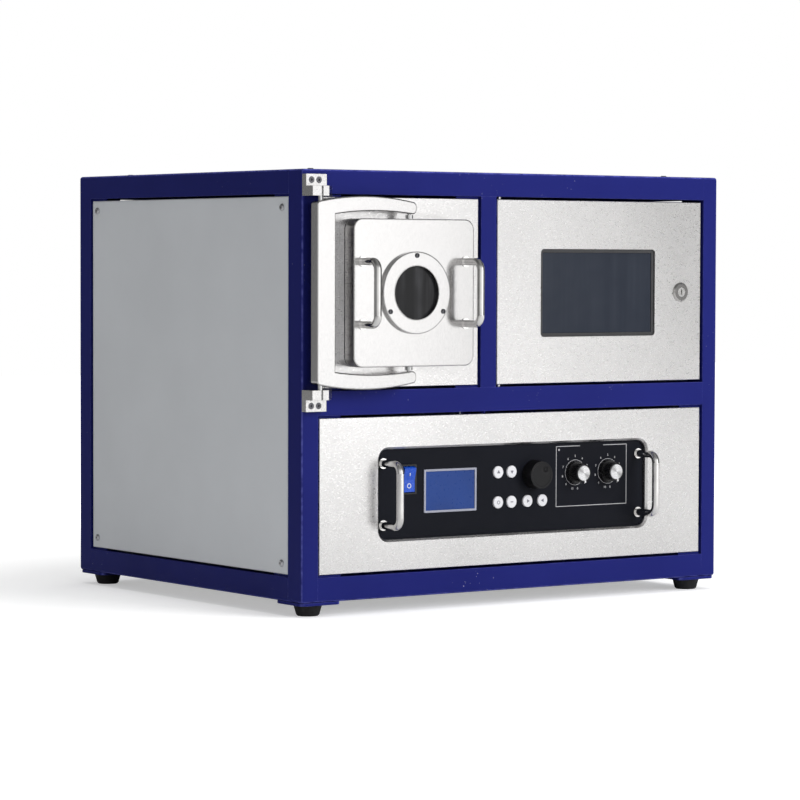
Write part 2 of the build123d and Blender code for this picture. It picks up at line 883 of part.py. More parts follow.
def lcd_screen():
    y0 = rf_front - lcd_t + lcd_sunk
    screen = Rectangle(lcd_w - 2 * lcd_border, lcd_h - 2 * lcd_border)
    back = Rectangle(lcd_w, lcd_h)
    body = along_y(screen, lcd_x, lcd_z, y0, rf_back)
    return body + along_y(back, lcd_x, lcd_z, rf_back, rf_back + lcd_screen_t)


def button_places():
    top_z, low_z = (rf_z + up for up in button_rows)
    columns = [rf_x + across for across in button_across]
    return [(x, top_z) for x in columns[:2]] + [(x, low_z) for x in columns]


def push_button(x, z):
    front = rf_front - button_proud
    flange = rf_back + button_back_gap
    points = [
        (0, front), (button_r - button_edge, front), (button_r, front + button_edge), (button_r, flange),
        (button_flange_r, flange), (button_flange_r, flange + button_flange_t),
        (button_stem_r, flange + button_flange_t), (button_stem_r, flange + button_flange_t + button_stem),
        (0, flange + button_flange_t + button_stem)]
    return turned_y(points, x, z)


def rf_knob():
    base = rf_front - knob_gap
    face = base - knob_h
    points = [
        (0, face), (knob_face_r - knob_edge, face), (knob_face_r, face + knob_edge), (knob_base_r, base),
        (shaft_r, base), (shaft_r, rf_back + shaft_len), (0, rf_back + shaft_len)]
    knob = turned_y(points, knob_x, knob_z)
    ball = Sphere(dimple_r)
    off = dimple_off / 2 ** 0.5
    return knob - Pos(knob_x + off, face - dimple_r + dimple_sunk, knob_z + off) * ball


def tuning_knob(x):
    base = rf_front - knob_gap
    face = base - grip_h
    skirt = base - skirt_h
    points = [
        (0, face + cap_sunk), (cap_r, face + cap_sunk), (cap_r, face), (grip_r, face), (grip_r, skirt),
        (skirt_r - knob_edge, skirt), (skirt_r, base), (shaft_r, base), (shaft_r, rf_back + shaft_len),
        (0, rf_back + shaft_len)]
    knob = turned_y(points, 0, 0)
    flute = rod_y(grip_r + flute_r / 2, 0, flute_r, face, skirt)
    for i in range(grip_flutes):
        knob -= Rot(0, (i + 0.5) * 360 / grip_flutes, 0) * flute
    return Pos(x, 0, dial_z) * knob


def knob_cap(x):
    base = rf_front - knob_gap - grip_h + cap_sunk
    cap = rod_y(0, 0, cap_r - running_gap, base - cap_t, base)
    cap = chamfer(cap.faces().sort_by(Axis.Y)[0].edges(), cap_edge)
    reach = cap_r + cap_nib / 2
    nib = along_y(Rectangle(cap_nib + cap_r, cap_nib_w), reach - cap_r / 2, 0, base - cap_t, base - cap_sunk)
    return Pos(x, 0, dial_z) * Rot(0, -cap_angle, 0) * (cap + nib)


# D-handles
def d_handle(x, z, face_y, reach):
    half = handle_pitch / 2
    front = face_y - reach
    pts = [(x, face_y, z + half), (x, front, z + half), (x, front, z - half), (x, face_y, z - half)]
    path = FilletPolyline(*pts, radius=bend_r)
    bar = sweep(Plane(origin=path @ 0, z_dir=path % 0) * Circle(bar_r), path=path)
    for dz in (half, -half):
        bar += rod_y(x, z + dz, handle_collar_r, face_y - handle_collar_h, face_y)
    return bar


def door_handles():
    return group(d_handle(door_x + dx, door_z, door_front, door_handle_reach)
                 for dx in (-door_handle_x, door_handle_x))


def rf_handles():
    return group(d_handle(rf_x + dx, rf_z, rf_front, rf_handle_reach)
                 for dx in (-rf_handle_x, rf_handle_x))


# Hinge and yoke
def hinge_block():
    outline = Polyline(
        (0, 0), (0, -knuckle_front), (knuckle_w, -knuckle_front),
        (knuckle_w + knuckle_chamfer, -knuckle_front + knuckle_chamfer), (knuckle_w + knuckle_chamfer, 0),
        close=True)
    low = door_z + knuckle_low_z
    lug_low = door_z + lug_low_z
    body = Pos(0, 0, low) * extrude(make_face(outline), lug_low - low)
    body += block(0, lug_w, -lug_t, 0, lug_low, lug_low + lug_h)
    body -= rod_z(pin_x, pin_y, pin_r + running_gap / 2, low, lug_low - tube_wall)
    body -= block(pin_x - slit_w / 2, pin_x + slit_w / 2, -knuckle_front, pin_y, low, lug_low)
    for x in lug_screw_x:
        z = door_z + lug_screw_z
        body -= rod_y(x, z, screw_hole_r, -lug_t, 0)
        cone_y = -lug_t + csk_depth
        body -= turned_y([(0, -lug_t), (csk_r, -lug_t), (screw_shank_r, cone_y), (0, cone_y)], x, z)
    return body


def hinge_blocks():
    upper = hinge_block()
    return group([upper, mirror_z(upper)])


def hinge_screw(x, z):
    back = -lug_t + lug_screw_len
    points = [
        (0, -lug_t), (csk_r, -lug_t), (screw_shank_r, -lug_t + csk_depth), (screw_shank_r, back), (0, back)]
    hexagon = along_y(RegularPolygon(hex_r, 6), x, z, -lug_t, -lug_t + hex_depth)
    return turned_y(points, x, z) - hexagon


def hinge_screws():
    return group(hinge_screw(x, door_z + dz) for x in lug_screw_x for dz in (-lug_screw_z, lug_screw_z))


def hinge_pins():
    top = door_z + lug_low_z - tube_wall
    upper = rod_z(pin_x, pin_y, pin_r, yoke_top_at_pin() - pin_depth, top)
    return group([upper, mirror_z(upper)])


def yoke_top_at_pin():
    return door_z + arm_corner_z


def yoke_half():
    # upper half of the C, cut at the door's middle height
    x0 = yoke_left
    x1 = yoke_left + band_w
    corner = arm_corner_z
    mid = (x0 + arm_end_x) / 2
    outer = ThreePointArc((x0, corner), (mid, arm_peak_z), (arm_end_x, corner))
    inner = ThreePointArc((arm_end_x, arm_inner_z), ((x1 + arm_end_x) / 2, arm_inner_peak_z), (x1, arm_inner_z))
    lines = [Line((x0, 0), (x0, corner)), outer, Line((arm_end_x, corner), (arm_end_x, arm_inner_z)), inner]
    lines += [Line((x1, arm_inner_z), (x1, 0)), Line((x1, 0), (x0, 0))]
    return make_face(Wire(lines))


def yoke():
    face = yoke_half()
    half = along_y(face, 0, door_z, yoke_front, yoke_back)
    body = half + mirror_z(half)
    ends = [e for e in body.edges().filter_by(Axis.Y) if e.center().X > arm_end_x - running_gap]
    body = fillet(ends, arm_end_r)
    corners = [e for e in body.edges().filter_by(Axis.Y) if e.center().X < yoke_left + running_gap]
    body = fillet([e for e in corners if abs(e.center().Z - door_z) > arm_corner_z / 2], yoke_corner_r)
    body = chamfer(body.faces().sort_by(Axis.Y)[0].outer_wire().edges(), yoke_edge)
    pin_hole = rod_z(pin_x, pin_y, pin_r + running_gap, yoke_top_at_pin() - pin_depth - soft_gap, door_z + lug_low_z)
    pivot = rod_z(door_x, pin_y, pivot_r, door_z, door_z + arm_inner_z + pivot_depth)
    for cutter in (pin_hole, mirror_z(pin_hole), pivot, mirror_z(pivot)):
        body -= cutter
    return body


def pivot_pins():
    low = door_z + plate_w / 2
    upper = rod_z(door_x, pin_y, pivot_r, low - pivot_depth + soft_gap, door_z + arm_inner_z + pivot_depth)
    upper += rod_z(door_x, pin_y, pivot_collar_r, low + pivot_collar_gap, door_z + arm_inner_z)
    return group([upper, mirror_z(upper)])


# Chamber door
def ring_screw_places():
    spokes = [Vector(ring_screw_r, 0).rotate(Axis.Z, turn) for turn in (90, 210, 330)]
    return [(door_x + spoke.X, door_z + spoke.Y) for spoke in spokes]


def door_plate():
    body = plate_y(door_x, door_z, plate_w, plate_w, plate_r, door_front, door_back)
    body = chamfer(body.faces().sort_by(Axis.Y)[0].edges(), door_edge)
    body -= rod_y(door_x, door_z, window_r, door_front, door_back)
    body -= rod_y(door_x, door_z, glass_r + seat_gap, door_front, door_front + glass_t)
    top = door_z + plate_w / 2
    pivot = rod_z(door_x, pin_y, pivot_r + running_gap, top - pivot_depth, top)
    body -= pivot
    body -= mirror_z(pivot)
    for x, z in ring_screw_places():
        hole_end = door_front + ring_screw_len - ring_t + seat_gap
        body -= rod_y(x, z, ring_shank_r + running_gap, door_front, hole_end)
    return body


def window_glass():
    return rod_y(door_x, door_z, glass_r, door_front, door_front + glass_t)


def window_ring():
    y0 = door_front - ring_t
    ring = rod_y(door_x, door_z, ring_r, y0, door_front)
    ring = chamfer(ring.faces().sort_by(Axis.Y)[0].edges(), door_edge)
    ring -= rod_y(door_x, door_z, window_r, y0, door_front)
    for x, z in ring_screw_places():
        ring -= rod_y(x, z, ring_shank_r + running_gap, y0, door_front)
    return ring


def ring_screws():
    y0 = door_front - ring_t
    made = []
    for x, z in ring_screw_places():
        points = [
            (0, y0 - ring_head_h), (ring_head_r - door_edge, y0 - ring_head_h),
            (ring_head_r, y0 - ring_head_h + door_edge), (ring_head_r, y0), (ring_shank_r, y0),
            (ring_shank_r, y0 + ring_screw_len), (0, y0 + ring_screw_len)]
        screw = turned_y(points, x, z)
        hex_back = y0 - ring_head_h + ring_hex_depth
        made.append(screw - along_y(RegularPolygon(ring_shank_r, 6), x, z, y0 - ring_head_h, hex_back))
    return group(made)


# Control door
def control_door():
    y0 = panel_inset
    y1 = panel_inset + return_depth
    t = front_sheet_t
    body = block(cdoor_x0, cdoor_x1, y0, y1, upper_z0, upper_z1)
    body -= block(cdoor_x0 + t, cdoor_x1 - t, y0 + t, y1, upper_z0 + t, upper_z1 - t)
    body = chamfer(body.faces().sort_by(Axis.Y)[0].edges(), panel_bevel)
    cx = (screen_x0 + screen_x1) / 2
    cz = (screen_z0 + screen_z1) / 2
    body -= plate_y(cx, cz, screen_x1 - screen_x0, screen_z1 - screen_z0, screen_corner, y0, face_back)
    body -= rod_y(lock_x, lock_z, lock_barrel_r, y0, face_back)
    px, py = pivot_axis()
    return body - rod_z(px, py, pivot_r, upper_z0, upper_z1)


def control_pins():
    px, py = pivot_axis()
    made = []
    for z, up in ((upper_z1, 1), (upper_z0, -1)):
        z0, z1 = sorted((z - up * door_pin_len, z + up * door_pin_reach))
        made.append(rod_z(px, py, pivot_r, z0, z1))
    return group(made)


def hmi_size():
    cx = (screen_x0 + screen_x1) / 2
    cz = (screen_z0 + screen_z1) / 2
    return cx, cz, screen_x1 - screen_x0, screen_z1 - screen_z0


def hmi_case():
    cx, cz, w, h = hmi_size()
    lap = 2 * screen_lap
    back = face_back + hmi_depth
    body = plate_y(cx, cz, w + lap, h + lap, screen_corner, face_back, face_back + hmi_flange_t)
    body += plate_y(cx, cz, w - hmi_shrink, h - hmi_shrink, screen_corner, face_back, back)
    glass = Rectangle(w - 2 * screen_border + plate_fit, h - 2 * screen_border + plate_fit)
    return body - along_y(glass, cx, cz, face_back, face_back + hmi_glass_sunk + hmi_glass_t)


def hmi_glass():
    cx, cz, w, h = hmi_size()
    y0 = face_back + hmi_glass_sunk
    return along_y(Rectangle(w - 2 * screen_border, h - 2 * screen_border), cx, cz, y0, y0 + hmi_glass_t)


def lock_body():
    front = panel_inset - lock_ring_t
    back = panel_inset + lock_barrel_len
    hole_r = plug_r + running_gap
    points = [
        (hole_r, front), (lock_ring_r - lock_cone, front), (lock_ring_r, front + lock_cone),
        (lock_ring_r, panel_inset), (lock_barrel_r, panel_inset), (lock_barrel_r, back), (hole_r, back)]
    return turned_y(points, lock_x, lock_z)


def lock_nut():
    nut = along_y(RegularPolygon(lock_nut_w / 2, 6), lock_x, lock_z, face_back, face_back + lock_nut_t)
    return nut - rod_y(lock_x, lock_z, lock_barrel_r, face_back, face_back + lock_nut_t)


def cam_front():
    return panel_inset + return_depth + catch_gap + tab_t + catch_gap


def lock_rotor():
    front = panel_inset - lock_ring_t
    cam_y = cam_front()
    body = rod_y(lock_x, lock_z, plug_r, front, cam_y)
    body -= along_y(SlotOverall(slot_len, slot_w, rotation=90), lock_x, lock_z, front, front + slot_depth)
    cam = SlotOverall(cam_reach + cam_w, cam_w, rotation=90)
    body += along_y(cam, lock_x, lock_z - cam_reach / 2, cam_y, cam_y + cam_t)
    return body + rod_y(lock_x, lock_z, plug_tail_r, cam_y + cam_t, cam_y + 2 * cam_t)


def build():
    os.makedirs("parts", exist_ok=True)
    for node in ("left_panel", "right_panel", "top_panel"):
        save(plain_panel(node), node)
    makers = (
        front_frame, rear_frame, corner_plates, feet, panel_tabs, button_screws, bottom_panel, rear_panel,
        chamber_face, lower_panel, equipment_deck, chamber, door_seal, electrode, electrode_posts,
        vacuum_port, gas_inlets, gas_lines, mains_inlet, fan_frame, fan_rotor, rf_fascia, rf_case, rf_rails,
        rocker_bezel, rocker, lcd_frame, lcd_screen, rf_knob, door_handles, rf_handles, hinge_blocks,
        hinge_screws, hinge_pins, yoke, pivot_pins, door_plate, window_glass, window_ring, ring_screws,
        control_door, control_pins, hmi_case, hmi_glass, lock_body, lock_nut, lock_rotor)
    for maker in makers:
        save(maker(), maker.__name__)
    for number, (x, z) in enumerate(button_places(), start=1):
        save(push_button(x, z), "button_" + str(number))
    for name, x in zip(("tune", "load"), dial_x):
        save(tuning_knob(x), name + "_knob")
        save(knob_cap(x), name + "_cap")


build()
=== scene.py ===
import math

import bmesh
import bpy
from mathutils import Matrix, Vector


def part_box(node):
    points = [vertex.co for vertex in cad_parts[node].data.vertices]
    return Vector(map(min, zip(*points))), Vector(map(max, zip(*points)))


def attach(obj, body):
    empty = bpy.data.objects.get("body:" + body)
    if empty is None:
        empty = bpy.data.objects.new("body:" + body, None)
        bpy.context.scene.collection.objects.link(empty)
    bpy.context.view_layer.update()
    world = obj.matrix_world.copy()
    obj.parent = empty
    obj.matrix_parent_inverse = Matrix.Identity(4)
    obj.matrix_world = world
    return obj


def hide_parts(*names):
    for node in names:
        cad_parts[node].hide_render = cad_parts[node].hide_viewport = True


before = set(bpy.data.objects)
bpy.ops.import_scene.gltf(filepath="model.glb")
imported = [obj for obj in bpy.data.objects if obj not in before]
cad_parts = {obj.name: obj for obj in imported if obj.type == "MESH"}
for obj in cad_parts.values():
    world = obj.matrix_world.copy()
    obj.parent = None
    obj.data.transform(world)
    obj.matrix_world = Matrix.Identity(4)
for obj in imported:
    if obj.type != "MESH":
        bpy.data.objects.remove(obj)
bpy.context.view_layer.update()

bl_info = {
    "name": "Benchtop plasma cleaner",
    "version": (1, 0, 0),
    "blender": (4, 5, 0),
    "location": "3D View > Sidebar > Plasma cleaner",
    "description": "Finishes the cabinet, the chamber door, the control door and the radio-frequency unit",
    "category": "Object",
}

MM = 0.001


# ---------------------------------------------------------------- settings


def colour_setting(name, text, value):
    return bpy.props.FloatVectorProperty(
        name=name, description=text, default=value, size=3, min=0.0, max=1.0, subtype="COLOR"
    )


def length_setting(name, text, value):
    return bpy.props.FloatProperty(
        name=name, description=text, default=value, min=0.0, unit="LENGTH", subtype="DISTANCE", precision=5
    )


class CabinetSettings(bpy.types.PropertyGroup):
    """Colours of the painted cabinet and its plates."""

    frame_blue: colour_setting("Frame blue", "Powder coat of the square tube frame", (0.014, 0.018, 0.150))
    # The edge colour is a painted highlight along the rounded tube corners, where the light catches them.
    frame_edge: colour_setting("Frame edge", "Thinner, lighter coat along the tube corners", (0.10, 0.11, 0.42))
    panel_grey: colour_setting("Panel grey", "Coat of the side, top, bottom and rear sheets", (0.715, 0.74, 0.77))
    steel: colour_setting("Stainless steel", "Satin steel of the front plates and the door", (0.74, 0.73, 0.725))
    fascia_black: colour_setting("Fascia black", "Coat of the radio-frequency fascia", (0.0065, 0.0072, 0.0105))
    rocker_blue: colour_setting("Rocker blue", "Moulded rocker of the mains switch", (0.010, 0.075, 0.52))
    edge_radius: length_setting("Edge radius", "Rounding that the paint gives to a tube corner", 0.9 * MM)


class ScaleSettings(bpy.types.PropertyGroup):
    """Sizes of the white print on the fascia."""

    ring_radius: length_setting("Ring radius", "Middle of the thin ring round a tuning knob", 13.5 * MM)
    number_radius: length_setting("Number radius", "Distance of the numbers from the knob's axis", 17.6 * MM)
    number_height: length_setting("Number height", "Height of the numbers on the scales", 3.4 * MM)
    line_width: length_setting("Line width", "Width of the printed lines", 0.55 * MM)
    print_height: length_setting("Print height", "How far the print stands off the fascia", 0.08 * MM)
    print_white: colour_setting("Print white", "Ink of the printed lines and numbers", (0.62, 0.62, 0.64))


class KnobSettings(bpy.types.PropertyGroup):
    """Sizes of the large power knob."""

    rib_count: bpy.props.IntProperty(name="Ribs", description="Ribs round the rim of the knob", default=60, min=12)
    rib_depth: length_setting("Rib depth", "Depth of the groove between two ribs", 0.30 * MM)
    face_radius: length_setting("Face radius", "Radius of the knob at its front face", 14.5 * MM)
    depth: length_setting("Knob depth", "From the front face to the back of the rim", 13.5 * MM)
    face_step: length_setting("Face step", "Depth of the shallow step inside the face", 0.35 * MM)
    dimple_radius: length_setting("Dimple radius", "Radius of the finger dimple at the face", 3.2 * MM)
    dimple_offset: length_setting("Dimple offset", "Distance of the dimple from the knob's axis", 8.2 * MM)
    dimple_depth: length_setting("Dimple depth", "Depth of the finger dimple", 1.5 * MM)


class StageSettings(bpy.types.PropertyGroup):
    """Camera and light of the studio."""

    camera_place: bpy.props.FloatVectorProperty(
        name="Camera place", description="Where the photograph was taken from", size=3,
        default=(-2.109957, -2.970268, 0.362728), subtype="TRANSLATION", unit="LENGTH",
    )
    camera_turn: bpy.props.FloatVectorProperty(
        name="Camera turn", description="Pitch, roll and yaw of the camera", size=3,
        default=(math.radians(90 - 2.4306), math.radians(0.1746), math.radians(-35.3192)), subtype="EULER",
    )
    lens: bpy.props.FloatProperty(name="Lens", description="Focal length on a 36 mm sensor, in mm", default=147.86)
    floor_size: length_setting("Floor size", "Side of the pale floor", 12.0)


# ---------------------------------------------------------------- finishes


def grow(tree, kind, sockets, **attributes):
    """New node in the tree: each socket is linked to another node's socket or set to a value."""
    made = tree.nodes.new(kind)
    for key, value in attributes.items():
        setattr(made, key, value)
    for key, value in sockets.items():
        if isinstance(value, bpy.types.NodeSocket):
            tree.links.new(value, made.inputs[key])
        else:
            made.inputs[key].default_value = value
    return made


def scaled(colour, factor):
    return tuple(c * factor for c in colour)


class Finish:
    """A procedural material on one Principled shader that reads the piece's Object coordinates."""

    def __init__(self, name, **sockets):
        self.material = bpy.data.materials.new(name)
        self.material.use_nodes = True
        self.tree = self.material.node_tree
        self.shader = self.tree.nodes["Principled BSDF"]
        self.place = self.node("ShaderNodeTexCoord", {}).outputs["Object"]
        for key, value in sockets.items():
            self.set(key.replace("_", " "), value)

    def node(self, kind, sockets, **attributes):
        return grow(self.tree, kind, sockets, **attributes)

    def set(self, name, value):
        if isinstance(value, bpy.types.NodeSocket):
            self.tree.links.new(value, self.shader.inputs[name])
        elif name.endswith("Color"):
            self.shader.inputs[name].default_value = (*value, 1.0)
        else:
            self.shader.inputs[name].default_value = value

    def moved(self, stretch=(1, 1, 1), offset=(0, 0, 0)):
        sockets = {"Vector": self.place, "Scale": stretch, "Location": offset}
        return self.node("ShaderNodeMapping", sockets).outputs[0]

    def noise(self, scale, detail=2.0, stretch=(1, 1, 1), offset=(0, 0, 0)):
        sockets = {"Vector": self.moved(stretch, offset), "Scale": scale, "Detail": detail}
        return self.node("ShaderNodeTexNoise", sockets).outputs[0]

    def spread(self, value, low, high, start=0.3, end=0.7):
        sockets = {0: value, 1: start, 2: end, 3: low, 4: high}
        return self.node("ShaderNodeMapRange", sockets).outputs[0]

    def math(self, kind, first, second=0.0):
        return self.node("ShaderNodeMath", {0: first, 1: second}, operation=kind).outputs[0]

    def mixed(self, factor, low, high):
        ends = [c if isinstance(c, bpy.types.NodeSocket) else (*c, 1.0) for c in (low, high)]
        return self.node("ShaderNodeMix", {0: factor, 6: ends[0], 7: ends[1]}, data_type="RGBA").outputs[2]

    def rounded(self, radius):
        """Normal that softens sharp corners by radius, and how far it departs from the face."""
        normal = self.node("ShaderNodeBevel", {"Radius": radius}, samples=4).outputs[0]
        flat = self.node("ShaderNodeNewGeometry", {}).outputs["Normal"]
        same = self.node("ShaderNodeVectorMath", {0: normal, 1: flat}, operation="DOT_PRODUCT").outputs["Value"]
        return normal, self.spread(same, 1.0, 0.0, 0.80, 0.995)

    def fillet(self):
        """How far the face turns away from the three directions of the cabinet, so the rounded tube corners that get
        the painted highlight.
        """
        normal = self.node("ShaderNodeTexCoord", {}).outputs["Normal"]
        size = self.node("ShaderNodeVectorMath", {0: normal}, operation="ABSOLUTE").outputs[0]
        parts = self.node("ShaderNodeSeparateXYZ", {0: size}).outputs
        widest = self.math("MAXIMUM", self.math("MAXIMUM", parts[0], parts[1]), parts[2])
        return self.spread(widest, 1.0, 0.0, 0.75, 0.96)

    def relief(self, height, distance, normal=None, strength=1.0):
        sockets = {"Height": height, "Distance": distance, "Strength": strength}
        if normal is not None:
            sockets["Normal"] = normal
        bump = self.node("ShaderNodeBump", sockets).outputs[0]
        self.set("Normal", bump)
        return bump


SPECK_GREY = (0.55, 0.56, 0.66)
ZINC_DARK, ZINC_PALE = (0.42, 0.44, 0.46), (0.60, 0.62, 0.64)


def powder_coat(name, low, high, edge, radius, peel=650.0, rough=(0.30, 0.42), specks=0.0, specular=0.45):
    """Sprayed and baked coat: orange peel, cloudy tone, a painted highlight along the corners and a few pale specks.
    """
    made = Finish(name, Specular_IOR_Level=specular)
    normal, corner = made.rounded(radius)
    clouds = made.noise(9.0, 3.0)
    tone = made.mixed(made.spread(clouds, 0.0, 1.0), low, high)
    # Painted highlight: along the rounded corners the tone turns to the edge colour, broken up by noise.
    ragged = made.spread(made.noise(160.0, 3.0), 0.25, 1.0, 0.35, 0.65)
    corner = made.math("MAXIMUM", corner, made.fillet())
    tone = made.mixed(made.math("MULTIPLY", corner, ragged), tone, edge)
    if specks:
        dust = made.spread(made.noise(520.0, 1.0), 0.0, 1.0, 0.75, 0.79)
        where = made.spread(made.noise(11.0, 1.0, offset=(3.1, 0.4, 1.7)), 0.0, specks, 0.56, 0.68)
        tone = made.mixed(made.math("MULTIPLY", dust, where), tone, SPECK_GREY)
    made.set("Base Color", tone)
    made.set("Roughness", made.spread(made.noise(40.0, 4.0), rough[0], rough[1]))
    skin = made.noise(peel, 2.0)
    made.relief(skin, 0.00005, normal)
    return made.material


def satin_steel(name, colour, grain=(0.45, 1.0, 1.0), rough=(0.25, 0.36), depth=0.00001, radius=0.0005, mottle=0.10,
                edge=None):
    """Stainless steel with a fine sanded grain and faint clouds; its edges get a painted highlight, or painted shade
    in the edge colour.
    """
    made = Finish(name, Metallic=1.0)
    normal, corner = made.rounded(radius)
    dark = scaled(colour, 1.0 - mottle * 1.6)
    pale = tuple(min(1.0, c * (1.0 + mottle)) for c in colour)
    fine = made.noise(1500.0, 3.0, grain)
    clouds = made.noise(5.0, 3.0, (1.0, 1.0, 0.6))
    both = made.math("ADD", made.math("MULTIPLY", fine, 0.62), made.math("MULTIPLY", clouds, 0.38))
    tone = made.mixed(made.spread(both, 0.0, 1.0, 0.34, 0.66), dark, pale)
    # Painted highlight along the edges, or painted shade where a dark edge colour is given.
    made.set("Base Color", made.mixed(made.math("MULTIPLY", corner, 0.85 if edge else 0.5), tone, edge or pale))
    made.set("Roughness", made.spread(made.noise(700.0, 3.0, grain), rough[0], rough[1]))
    made.relief(fine, depth, normal)
    return made.material


def drawn_steel(name, colour, along, rough=(0.10, 0.22)):
    """Polished bar or turned pin: hair lines run along the work, with small dull patches."""
    made = Finish(name, Metallic=1.0)
    stretch = [1.0, 1.0, 1.0]
    stretch[along] = 0.03
    lines = made.noise(2600.0, 2.0, tuple(stretch))
    patches = made.noise(60.0, 3.0)
    dull = scaled(colour, 0.84)
    made.set("Base Color", made.mixed(made.spread(patches, 0.0, 1.0), dull, colour))
    both = made.math("ADD", made.math("MULTIPLY", lines, 0.6), made.math("MULTIPLY", patches, 0.4))
    made.set("Roughness", made.spread(both, rough[0], rough[1]))
    made.relief(lines, 0.0000012)
    return made.material


def spun_metal(name, colour, axis_x, axis_z):
    """Aluminium face turned on a lathe: fine rings about the knob's own axis, and a painted bow-tie sheen that
    darkens two opposite sectors.
    """
    made = Finish(name, Metallic=1.0)
    centred = made.moved((1, 1, 1), (-axis_x, 0, -axis_z))
    rings = made.node(
        "ShaderNodeTexWave", {"Vector": centred, "Scale": 900.0, "Distortion": 0.4, "Detail": 1.0},
        wave_type="RINGS", rings_direction="Y",
    ).outputs[1]
    parts = made.node("ShaderNodeSeparateXYZ", {0: centred})
    # Painted sheen: the face darkens and lightens by angle round the axis, in place of the bow-tie highlight of
    # turned metal.
    angle = made.math("ARCTAN2", parts.outputs[2], parts.outputs[0])
    fan = made.math("ABSOLUTE", made.math("SINE", made.math("ADD", angle, 0.6)))
    dark = scaled(colour, 0.45)
    made.set("Base Color", made.mixed(made.spread(fan, 0.0, 1.0, 0.15, 0.9), dark, colour))
    made.set("Roughness", made.spread(rings, 0.22, 0.36, 0.0, 1.0))
    made.relief(rings, 0.000012)
    return made.material


def moulded(name, colour, rough=(0.34, 0.48), grain=1400.0, depth=0.00002, specular=0.4, radius=0.0004, **more):
    """Moulded plastic: fine spark-eroded grain, slightly cloudy tone and soft corners with a painted highlight."""
    made = Finish(name, Specular_IOR_Level=specular, **more)
    normal, corner = made.rounded(radius)
    shade = scaled(colour, 0.86)
    # Painted highlight: the corners are lightened toward this colour.
    corner_highlight = tuple(min(1.0, c * 1.15 + 0.012) for c in colour)
    tone = made.mixed(made.spread(made.noise(70.0, 3.0), 0.0, 1.0), shade, colour)
    made.set("Base Color", made.mixed(made.math("MULTIPLY", corner, 0.6), tone, corner_highlight))
    made.set("Roughness", made.spread(made.noise(260.0, 2.0), rough[0], rough[1]))
    made.relief(made.noise(grain, 2.0), depth, normal)
    return made.material


def galvanised(name):
    """Zinc sheet with its spangle."""
    made = Finish(name, Metallic=0.9)
    cells = made.node("ShaderNodeTexVoronoi", {"Vector": made.place, "Scale": 95.0}).outputs["Color"]
    grey = made.node("ShaderNodeRGBToBW", {0: cells}).outputs[0]
    made.set("Base Color", made.mixed(made.spread(grey, 0.0, 1.0, 0.0, 1.0), ZINC_DARK, ZINC_PALE))
    made.set("Roughness", made.spread(grey, 0.34, 0.55, 0.0, 1.0))
    made.relief(made.noise(420.0, 3.0), 0.00003)
    return made.material


def lit_display(name, colour, glow):
    """Backlit panel: a pixel grid, an uneven glow and a matt cover."""
    made = Finish(name, Specular_IOR_Level=0.3, Emission_Strength=glow)
    across = made.node("ShaderNodeTexWave", {"Vector": made.place, "Scale": 700.0}, bands_direction="X").outputs[1]
    down = made.node("ShaderNodeTexWave", {"Vector": made.place, "Scale": 700.0}, bands_direction="Z").outputs[1]
    grid = made.spread(made.math("MULTIPLY", across, down), 0.0, 1.0, 0.0, 0.6)
    uneven = made.noise(16.0, 1.0)
    low = scaled(colour, 0.74)
    tone = made.mixed(made.spread(uneven, 0.0, 1.0), low, colour)
    made.set("Base Color", tone)
    made.set("Emission Color", made.mixed(grid, scaled(colour, 0.93), tone))
    made.set("Roughness", made.spread(made.noise(300.0, 2.0), 0.26, 0.36))
    made.relief(made.noise(900.0, 1.0), 0.000004)
    return made.material


def dark_glass(name, colour, streaks, rough=(0.06, 0.13), transmission=0.0, specular=0.3):
    """Glass with soft upright streaks painted in as reflections, and faint finger marks on it."""
    made = Finish(name, Specular_IOR_Level=specular, Transmission_Weight=transmission, IOR=1.5)
    # Painted reflections: pale upright streaks mixed into the glass colour.
    bands = made.noise(90.0, 2.0, (1.0, 1.0, 0.07), (0.21, 0.0, 0.4))
    fade = made.noise(22.0, 2.0, offset=(0.7, 0.0, 0.2))
    both = made.math("MULTIPLY", made.spread(bands, 0.0, 1.0, 0.42, 0.72), made.spread(fade, 0.2, 1.0))
    pale = tuple(c * streaks + 0.006 for c in colour)
    made.set("Base Color", made.mixed(both, colour, pale))
    made.set("Roughness", made.spread(made.noise(75.0, 4.0), rough[0], rough[1]))
    made.relief(made.noise(20.0, 1.0), 0.00001)
    return made.material


def printed_ink(name, colour):
    """Silk-screened ink: slightly broken cover with a dry surface."""
    made = Finish(name, Specular_IOR_Level=0.3)
    cover = made.spread(made.noise(2400.0, 2.0), 0.0, 1.0, 0.25, 0.5)
    made.set("Base Color", made.mixed(cover, scaled(colour, 0.72), colour))
    made.set("Roughness", made.spread(made.noise(900.0, 2.0), 0.5, 0.7))
    made.relief(made.noise(2400.0, 2.0), 0.000008)
    return made.material


def wear(material, *names):
    """Puts one finish on the CAD nodes of these names."""
    for name in names:
        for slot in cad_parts[name].material_slots:
            slot.material = material


# ---------------------------------------------------------------- modelling


def clear_selection():
    if bpy.context.object and bpy.context.object.mode != "OBJECT":
        bpy.ops.object.mode_set(mode="OBJECT")
    bpy.ops.object.select_all(action="DESELECT")


def settle(name):
    """Names the new primitive and puts its place into its mesh."""
    made = bpy.context.object
    made.name = name
    made.data.name = name
    bpy.ops.object.transform_apply(location=True, rotation=True, scale=True)
    return made


def pick(made, test, kind="FACE"):
    """In edit mode, selects the faces, edges or vertices whose middle passes the test."""
    bpy.ops.mesh.select_mode(type=kind)
    bpy.ops.mesh.select_all(action="DESELECT")
    shape = bmesh.from_edit_mesh(made.data)
    if kind == "FACE":
        for face in shape.faces:
            face.select_set(bool(test(face.calc_center_median(), face.normal)))
    elif kind == "EDGE":
        for edge in shape.edges:
            edge.select_set(bool(test(edge.verts[0].co, edge.verts[1].co)))
    else:
        for vert in shape.verts:
            vert.select_set(bool(test(vert.co, vert.normal)))
    shape.select_flush_mode()
    bmesh.update_edit_mesh(made.data)


